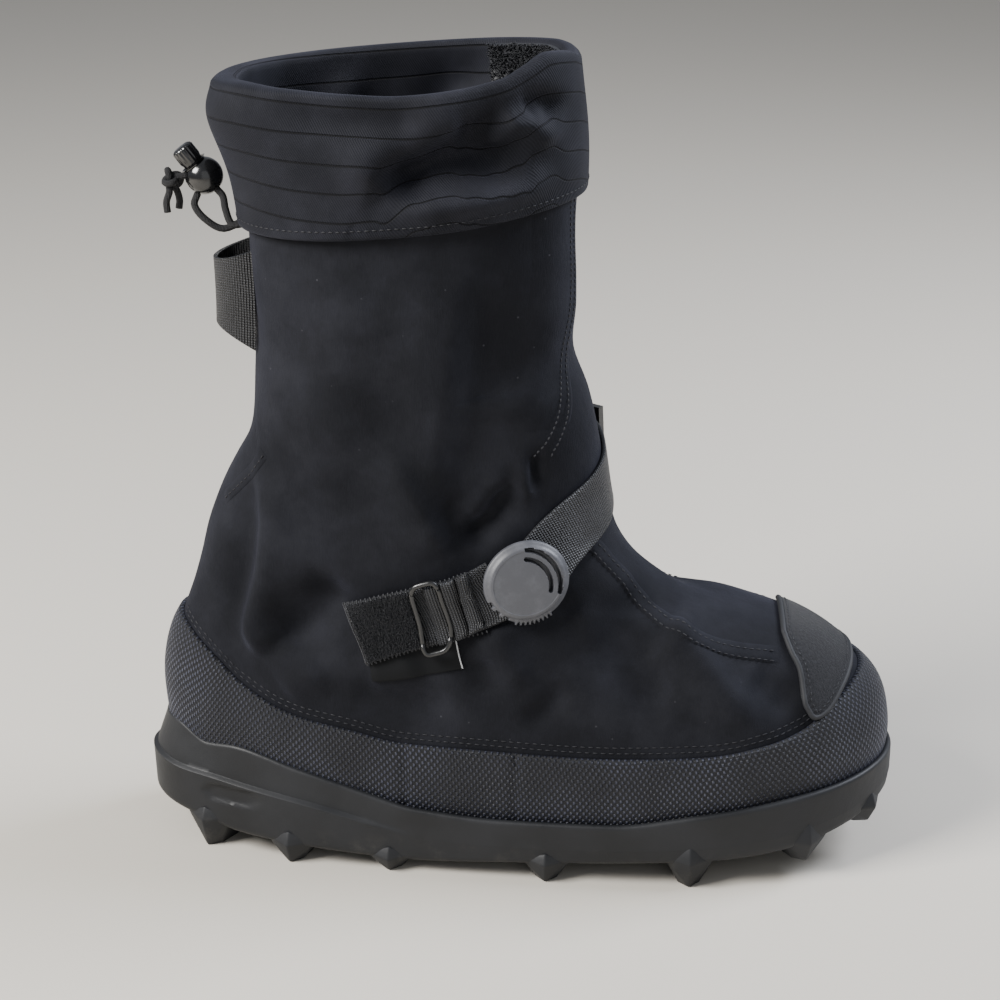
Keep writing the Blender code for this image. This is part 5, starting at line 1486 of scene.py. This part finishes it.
# Straps
# Black webbing with whip-stitched edges: one strap over the instep, its tail with a fuzzy hook tab, a
# label tab under the tail, and the inner strap. They are sewn to the shell at their ends.
STRAP_WIDTH = 0.025
STRAP_WALL = 0.0018
LABEL_WALL = 0.0006
LABEL_WIDTH = 0.020
LABEL_LINE = 0.45          # width of the label's white line, as a share of the cloth's last row
LABEL_LINE_WALL = 0.00015
TAIL_LOW = LABEL_WALL + 2 * GAP
TAIL_TOP = TAIL_LOW + STRAP_WALL
INSTEP_STOPS = (
    (-1, 0.512, 0.394), (-1, 0.567, 0.446), (0, 0.612, 0.490), (1, 0.590, 0.505), (1, 0.570, 0.500),
)
TAIL_STOPS = ((-1, 0.293, 0.318), (-1, 0.390, 0.350), (-1, 0.480, 0.383))
INNER_STOPS = ((1, 0.538, 0.476), (1, 0.450, 0.380), (1, 0.370, 0.260))
LABEL_STOPS = ((-1, 0.311, 0.288), (-1, 0.424, 0.308))
RIB_PITCH = 0.00115
PICK_LENGTH = 0.0011
WEBBING_DARK = (0.0052, 0.0054, 0.0064)
# colour of the painted highlight on the tops of the strap's ribs
WEBBING_PAINTED_HIGHLIGHT = (0.050, 0.053, 0.062)
EDGE_COLOUR = (0.020, 0.021, 0.025)
EDGE_STITCH = Stitch(0.0013, 0.0015, 0.00080)
EDGE_SPACING = 0.0019
EDGE_SHARE = 0.80         # share of the tail that has whipped edges
TAB_SHARE = 0.40          # share of the tail that is fuzzy hook tab
TAB_FUZZ = Fuzz(6500, 0.0013, 0.00036, 7)
LABEL_COLOUR = (0.0055, 0.0060, 0.0070)
LABEL_WHITE = (0.45, 0.46, 0.48)


def strap_line(stops, count):
    """Rings and turns along a strap; side 0 stands for the middle of the front."""
    spots = []
    for side, along, up in stops:
        if side:
            ring, turn = on_side(side, [(along, up)])
            spots.append((ring[0], turn[0]))
        else:
            goal = np.array((along * LENGTH - HEEL_CENTRE, 0, up * HEIGHT))
            spots.append((float(pulled(goal, 11.5, 0.5, (0, 1, 1))[0]), 0.5))
    line = flowing(spots, np.linspace(0, len(stops) - 1, count))
    return line[:, 0], line[:, 1]


def strap_grid(stops, width, count):
    """A strap's rings and turns: along its route, and across it."""
    ring, turn = strap_line(stops, count)
    base = form(ring, turn)
    run = np.gradient(base, axis=0)
    run /= np.linalg.norm(run, axis=1)[:, None]
    cross = np.cross(facing(ring, turn, form), run)
    goal = base[:, None] + cross[:, None] * STRAP_OFFSETS[:, None] * width / 2
    start = [np.repeat(a[:, None], len(STRAP_OFFSETS), 1) for a in (ring, turn)]
    return pulled(goal, *start, steps=6)


STRAP_OFFSETS = np.concatenate(((-1.0, -0.985, -0.94), np.linspace(-0.85, 0.85, 13), (0.94, 0.985, 1.0)))
STRAP_EDGE = np.concatenate(((0.35, 0.8, 1.0), np.ones(13), (1.0, 0.8, 0.35)))


def strap(name, grid, low, wall):
    """A flat band with rounded edges on a grid of rings and turns."""
    middle = low + wall / 2
    half = wall / 2 * STRAP_EDGE
    return layer(name, *grid, middle - half, middle + half)


def webbing_paint(name, light, pitch=RIB_PITCH):
    """Ribbed webbing: ribs lie across the strap, each a row of small twisted picks. Their tops get a painted
    highlight in the colour light.
    """
    paint = Paint(name, Roughness=0.45, Specular_IOR_Level=0.5)
    u, v = paint.along()
    ribs = v.waves(pitch) * 0.5 + 0.5
    picks = (u * (2 * math.pi / PICK_LENGTH) + v * (math.pi / pitch)).sine() * 0.5 + 0.5
    worn = paint.noise(60, 3).over(0.3, 0.7)
    height = ribs * 0.7 + picks * 0.3
    # base colour: a painted highlight on the ribs' and picks' tops, its strength varied in patches by the
    # worn noise
    paint.put("Base Color", paint.blend(height.over(0.3, 0.95) * (0.5 + worn * 0.5), WEBBING_DARK, light))
    paint.put("Normal", paint.relief(height, 0.0007))
    return paint


WEBBING = webbing_paint("webbing", WEBBING_PAINTED_HIGHLIGHT)
EDGE_THREAD = Paint("edge_thread", Base_Color=EDGE_COLOUR, Roughness=0.6)


def whip_stitches(name, grid, low, wall, last):
    """Threads wound over both long edges of a strap, from its start to a share of its length."""
    bits = []
    count, columns = grid[0].shape
    rows = np.arange(count)
    long = run_length(skin(grid[0][:, columns // 2], grid[1][:, columns // 2]))
    lifts = np.array((low + wall * 0.6, low + wall + 0.0001))
    for edge, inside in ((0, 3), (columns - 1, columns - 4)):
        for k in np.arange(0.0, last, EDGE_SPACING / long) * (count - 1):
            ends = [[np.interp(k, rows, a[:, edge]), np.interp(k + 0.1, rows, a[:, inside])] for a in grid]
            bits.append(skin(*np.array(ends), lifts))
    stitches(name, bits, EDGE_STITCH, EDGE_THREAD)


instep_grid = strap_grid(INSTEP_STOPS, STRAP_WIDTH * 1.08, 110)
dress(strap("instep_strap", instep_grid, GAP, STRAP_WALL), WEBBING, "webbing", "strap_instep")
inner_grid = strap_grid(INNER_STOPS, STRAP_WIDTH, 80)
dress(strap("inner_strap", inner_grid, GAP, STRAP_WALL), WEBBING, "webbing", "strap_inner")
tail_grid = strap_grid(TAIL_STOPS, STRAP_WIDTH * 1.1, 80)
dress(strap("strap_tail_webbing", tail_grid, TAIL_LOW, STRAP_WALL), WEBBING, "webbing", "strap_tail")
whip_stitches("tail_edge_stitches", tail_grid, TAIL_LOW, STRAP_WALL, EDGE_SHARE)
tab_rows = slice(1, int(len(tail_grid[0]) * TAB_SHARE))
tab_points = skin(tail_grid[0][tab_rows, 2:-2], tail_grid[1][tab_rows, 2:-2], TAIL_TOP)
fuzzed("tail_hook_tab", tab_points, TAB_FUZZ, Vector((0.0, -1.0, 0.0)))

label_grid = strap_grid(LABEL_STOPS, LABEL_WIDTH, 30)
label_cloth = Paint("label_cloth", Base_Color=LABEL_COLOUR, Roughness=0.75, Specular_IOR_Level=0.15)
dress(strap("label_tab_cloth", label_grid, GAP, LABEL_WALL), label_cloth, "label_cloth", "label_tab")
line_grid = [np.stack((a[-1] * (1 - LABEL_LINE) + a[-2] * LABEL_LINE, a[-1]))[:, 1:-1] for a in label_grid]
label_line = layer("label_edge_line", *line_grid, GAP + LABEL_WALL, GAP + LABEL_WALL + LABEL_LINE_WALL)
dress(label_line, Paint("label_white", Base_Color=LABEL_WHITE, Roughness=0.6), "label_cloth")


# Buckles
# Moulded plastic: a grey disc buckle that grips the instep strap over its toothed back edge, a glossy
# slider loop and three ribbed keepers on the tail, and a ladder lock on the inner side.
DISC_PLACE = (-1, 0.507, 0.392)
DISC_TOWARD = (-1, 0.560, 0.440)
DISC_RADIUS = 0.0185
DISC_OVAL = 0.035                   # share by which it is out of round, and the turn of its long way
DISC_OVAL_TURN = 0.6
DISC_EDGE = (                       # inset from the rim, height, share of the teeth that shows
    (0.00100, 0.0003, 1.0), (0.00040, 0.0010, 1.0), (0.00060, 0.0024, 1.0), (0.00130, 0.0031, 0.8),
    (0.00200, 0.0034, 0.0), (0.00230, 0.0038, 0.0), (0.00284, 0.0044, 0.0), (0.00338, 0.0047, 0.0),
    (0.00410, 0.0048, 0.0),
)
DISC_SLOTS = (0.0118, 0.0158)       # radii of the two curved slots, round a point beside the middle
DISC_SLOT_CENTRE = -0.0022
DISC_SLOT_TURN = -6
DISC_SLOT_HALF = 0.0010
DISC_SLOT_REACH = 48
DISC_SLOT_DEPTH = 0.0042
DISC_TEETH = (211, 264, 6.2)        # first and last angle from the instep's side, and their step, in degrees
DISC_TOOTH = 0.0013
DISC_NOTCHES = (168, 182, 196)
DISC_NOTCH = 0.0012
DISC_GREY = (0.070, 0.072, 0.082)
BUCKLE_BLACK = (0.0075, 0.0078, 0.0085)
KEEPER_SHARES = (0.548, 0.648, 0.748)
KEEPER_LONG = 0.0064
KEEPER_REACH = 1.03
KEEPER_TALL = (0.0002, 0.0026)      # its underside and its top over the tail
SLIDER_SHARE = 0.50                 # where the slider's middle is on the tail
SLIDER_SLANT = 0.02
SLIDER_LONG = 0.0125
SLIDER_REACH = 1.14
SLIDER_RADIUS = 0.00115
SLIDER_CORNERS = 0.45               # below 1 the frame is squarer than an oval


def seat(place, toward, lift):
    """A spot over the skin, and its axes: toward another place, across, and outwards."""
    ring, turn = on_side(place[0], [place[1:]])
    origin, out = form(ring, turn)[0], facing(ring, turn, form)[0]
    run = form(*on_side(toward[0], [toward[1:]]))[0] - origin
    run -= out * (run @ out)
    run /= np.linalg.norm(run)
    rise = float(np.max(folded(origin + 0.6 * DISC_RADIUS * np.array([run, -run, run * 0]))))
    return origin + out * (lift + max(rise, 0.0)), np.array((run, np.cross(out, run), out))


def plastic_paint(name, colour, rough, gloss=0.0):
    paint = Paint(name, Coat_Weight=gloss, Coat_Roughness=0.15)
    worn = paint.noise(140, 5, roughness=0.7).over(0.45, 0.75)
    lighter = tuple(1.25 * value + 0.004 for value in colour)
    paint.put("Base Color", paint.blend(worn, colour, lighter))
    paint.put("Roughness", rough + worn * 0.15)
    paint.put("Normal", paint.relief(paint.noise(1100, 2), 0.00004))
    return paint


def disc_teeth(degrees):
    """How far the rim stands out: fine teeth along one stretch, and three notches beside them."""
    first, last, step = DISC_TEETH
    toothed = (degrees >= first) & (degrees <= last)
    wave = np.clip(1.6 * np.sin((degrees - first) * 2 * np.pi / step), -1, 1) * 0.5 + 0.5
    teeth = np.where(toothed, wave * DISC_TOOTH, 0.0)
    for at in DISC_NOTCHES:
        off = np.abs((degrees - at + 180) % 360 - 180)
        teeth = teeth - DISC_NOTCH * np.clip((5.0 - off) / 1.5, 0, 1)
    return teeth


def disc_grid():
    """The disc as a polar grid: its underside, its toothed edge and border, and a plate with two slots."""
    angle = np.arange(360) * 2 * np.pi / 360
    teeth = disc_teeth(np.degrees(angle))
    rim = DISC_RADIUS * (1.0 + DISC_OVAL * np.cos(2 * angle + DISC_OVAL_TURN))
    rows = [(np.full(360, 0.001), np.zeros(360)), (rim * 0.85, np.zeros(360))]
    for inset, height, share in DISC_EDGE:
        rows.append((rim - inset + teeth * share, np.full(360, height)))
    for share in np.linspace(0, 1, 60)[1:]:
        radius = (rim - DISC_EDGE[-1][0]) * (1 - share) + 0.0003 * share
        rows.append((radius, 0.0044 + 0.0006 * (1 - (radius / DISC_RADIUS) ** 2)))
    radius, height = (np.stack([row[k] for row in rows]) for k in (0, 1))
    x, y = radius * np.cos(angle), radius * np.sin(angle)
    from_centre = np.hypot(x - DISC_SLOT_CENTRE, y)
    swing = np.degrees(np.arctan2(y, x - DISC_SLOT_CENTRE))
    for slot in DISC_SLOTS:
        across = np.abs(from_centre - slot) / DISC_SLOT_HALF
        along = np.radians(np.abs(swing - DISC_SLOT_TURN) - DISC_SLOT_REACH) * slot / DISC_SLOT_HALF
        inside = np.clip((1.0 - np.hypot(across, np.maximum(along, 0))) / 0.35, 0, 1)
        inside[:7] = 0.0
        height = height - DISC_SLOT_DEPTH * inside
    return np.stack((x, y, height), -1)


GREY = plastic_paint("grey_plastic", DISC_GREY, 0.42)
BLACK = plastic_paint("black_plastic", BUCKLE_BLACK, 0.30, 0.35)
disc_spot, disc_axes = seat(DISC_PLACE, DISC_TOWARD, TAIL_TOP + 2 * GAP)
disc_points = disc_grid() @ disc_axes + disc_spot
disc = sheet_object("disc_buckle_body", disc_points, around=True, over=False, sharp=32)
dress(closed_ends(disc), GREY, "grey_plastic", "disc_buckle")
BAR_STEP = run_length(form(tail_grid[0][:, 9], tail_grid[1][:, 9])) / (len(tail_grid[0]) - 1)


def strap_bar(name, grid, share, length, reach, low, high):
    """A rounded bar across a strap, bent to it, its ends past the strap's edges."""
    count, columns = grid[0].shape
    rows = share * (count - 1) + np.linspace(-0.5, 0.5, 9) * length / BAR_STEP
    spot = [np.stack([np.interp(rows, np.arange(count), a[:, c]) for c in range(columns)], 1) for a in grid]
    middle = [a.mean(1, keepdims=True) for a in spot]
    spot = [m + (a - m) * reach for a, m in zip(spot, middle)]
    arch = np.sqrt(np.clip(1 - np.linspace(-1, 1, 9) ** 2, 0.02, 1))[:, None]
    ends = np.concatenate(((0.4, 0.8), np.ones(15), (0.8, 0.4)))
    return layer(name, *spot, low, low + (high - low) * arch * ends)


def slider_line():
    """The slider's rounded frame, which sticks out past both edges of the tail."""
    angle = np.linspace(0, 2 * np.pi, 80, endpoint=False)
    along, across = (np.sign(a) * np.abs(a) ** SLIDER_CORNERS for a in (np.cos(angle), np.sin(angle)))
    count = len(tail_grid[0])
    rows = (SLIDER_SHARE + SLIDER_SLANT * across) * (count - 1) + along * SLIDER_LONG / 2 / BAR_STEP
    spot = []
    for grid in tail_grid:
        low, high = (np.interp(rows, np.arange(count), grid[:, c]) for c in (0, -1))
        spot.append((low + high) / 2 + (high - low) / 2 * across * SLIDER_REACH)
    return skin(*spot, TAIL_TOP + SLIDER_RADIUS + np.where(np.abs(across) > 0.8, 0.0012, 0.0002))


slider = tube("tail_slider", slider_line(), SLIDER_RADIUS, 10)
dress(slider, BLACK, "black_plastic", "strap_slider")
for k, share in enumerate(KEEPER_SHARES, 1):
    low, high = (TAIL_TOP + tall for tall in KEEPER_TALL)
    keeper = strap_bar(f"tail_keeper_{k}", tail_grid, share, KEEPER_LONG, KEEPER_REACH, low, high)
    dress(keeper, WEBBING, "black_plastic", f"keeper_bar_{k}")
painted("ladder_lock", BLACK)


# Pull loop
# A loop of plain ribbed webbing at the back of the shaft, to pull the overshoe on by. Both its ends are
# sewn to the shell.
LOOP_HALF = 0.016
LOOP_REACH = 0.0165
LOOP_WALL = 0.0018
LOOP_ROOT = (0.655, 0.778)          # its low and high edge where it is sewn in, and at its back
LOOP_BACK = (0.683, 0.762)
LOOP_PITCH = 0.0012
# colour of the painted highlight on the tops of the loop's ribs
LOOP_PAINTED_HIGHLIGHT = (0.030, 0.031, 0.036)


def back_face(y, z):
    """The form's x at the heel side, at a distance y from the middle and a height z."""
    goal = np.stack(np.broadcast_arrays(-0.05, y, z), -1)
    return form(*pulled(goal, np.full(z.shape, 15.0), -0.02 * np.sign(y), (0, 1, 1), 16))[..., 0]


def loop_grid():
    """The loop's outer face from its low to its high edge, and its inner face back down."""
    angle = np.pi * (np.linspace(0, 1, 49) - 0.5)
    share = np.maximum(np.cos(angle), 0) ** 0.8
    low, high = (root + (back - root) * share for root, back in zip(LOOP_ROOT, LOOP_BACK))
    rows = []
    for wall, side in ((0.0, 1), (LOOP_WALL, -1)):
        y = (LOOP_HALF - wall) * np.sin(angle)
        for up in np.linspace(0, 1, 15)[::side]:
            z = HEIGHT * (low + (high - low) * up)
            rows.append(np.stack((back_face(y, z) - GAP * 1.5 - (LOOP_REACH - wall) * share, y, z), -1))
    return np.stack(rows)


loop_points = loop_grid()
loop_uv = uv_of(loop_points, False)[..., ::-1]
loop_uv = np.concatenate((loop_uv, loop_uv[:, -1:]), axis=1)
loop_uv = np.concatenate((loop_uv, loop_uv[:1]))
loop = sheet_object("pull_loop_webbing", loop_points, loop_uv)
dress(loop, webbing_paint("loop_tape", LOOP_PAINTED_HIGHLIGHT, LOOP_PITCH), "loop_tape", "pull_loop")


# Floor and light
# A plain pale floor and soft studio light: the main lamp high at the heel's side, a cooler one beyond the
# toe, and a weak one low at the outer side.
FLOOR_COLOUR = (0.60, 0.565, 0.50)
SKY_COLOUR = (0.88, 0.92, 1.0, 1.0)
SKY_STRENGTH = 0.34
Lamp = namedtuple("Lamp", "name power size place aim colour")
LAMPS = (
    Lamp("key", 56.0, 0.7, (-1.05, -0.62, 1.15), (0.08, 0.0, 0.15), (1.0, 0.98, 0.95)),
    Lamp("rim", 30.0, 0.7, (1.15, 0.30, 1.05), (0.12, 0.0, 0.15), (0.86, 0.90, 1.0)),
    Lamp("fill", 4.0, 1.6, (0.60, -1.60, 0.70), (0.10, 0.0, 0.12), (1.0, 1.0, 1.0)),
)

floor = mesh_object("studio_floor", bpy.data.meshes.new("studio_floor"))
bm = bmesh.new()
bmesh.ops.create_grid(bm, x_segments=2, y_segments=2, size=9.0)
bm.to_mesh(floor.data)
bm.free()
floor.data.materials.append(Paint("studio_floor", Base_Color=FLOOR_COLOUR, Roughness=0.85).material)

world = bpy.data.worlds.new("studio")
world.use_nodes = True
sky = world.node_tree.nodes["Background"].inputs
sky["Color"].default_value = SKY_COLOUR
sky["Strength"].default_value = SKY_STRENGTH
bpy.context.scene.world = world

for lamp in LAMPS:
    light = bpy.data.lights.new(lamp.name, "AREA")
    light.energy = lamp.power
    light.size = lamp.size
    light.color = lamp.colour
    stand = bpy.data.objects.new(lamp.name, light)
    stand.location = lamp.place
    stand.rotation_euler = (Vector(lamp.aim) - Vector(lamp.place)).to_track_quat("-Z", "Y").to_euler()
    bpy.context.scene.collection.objects.link(stand)
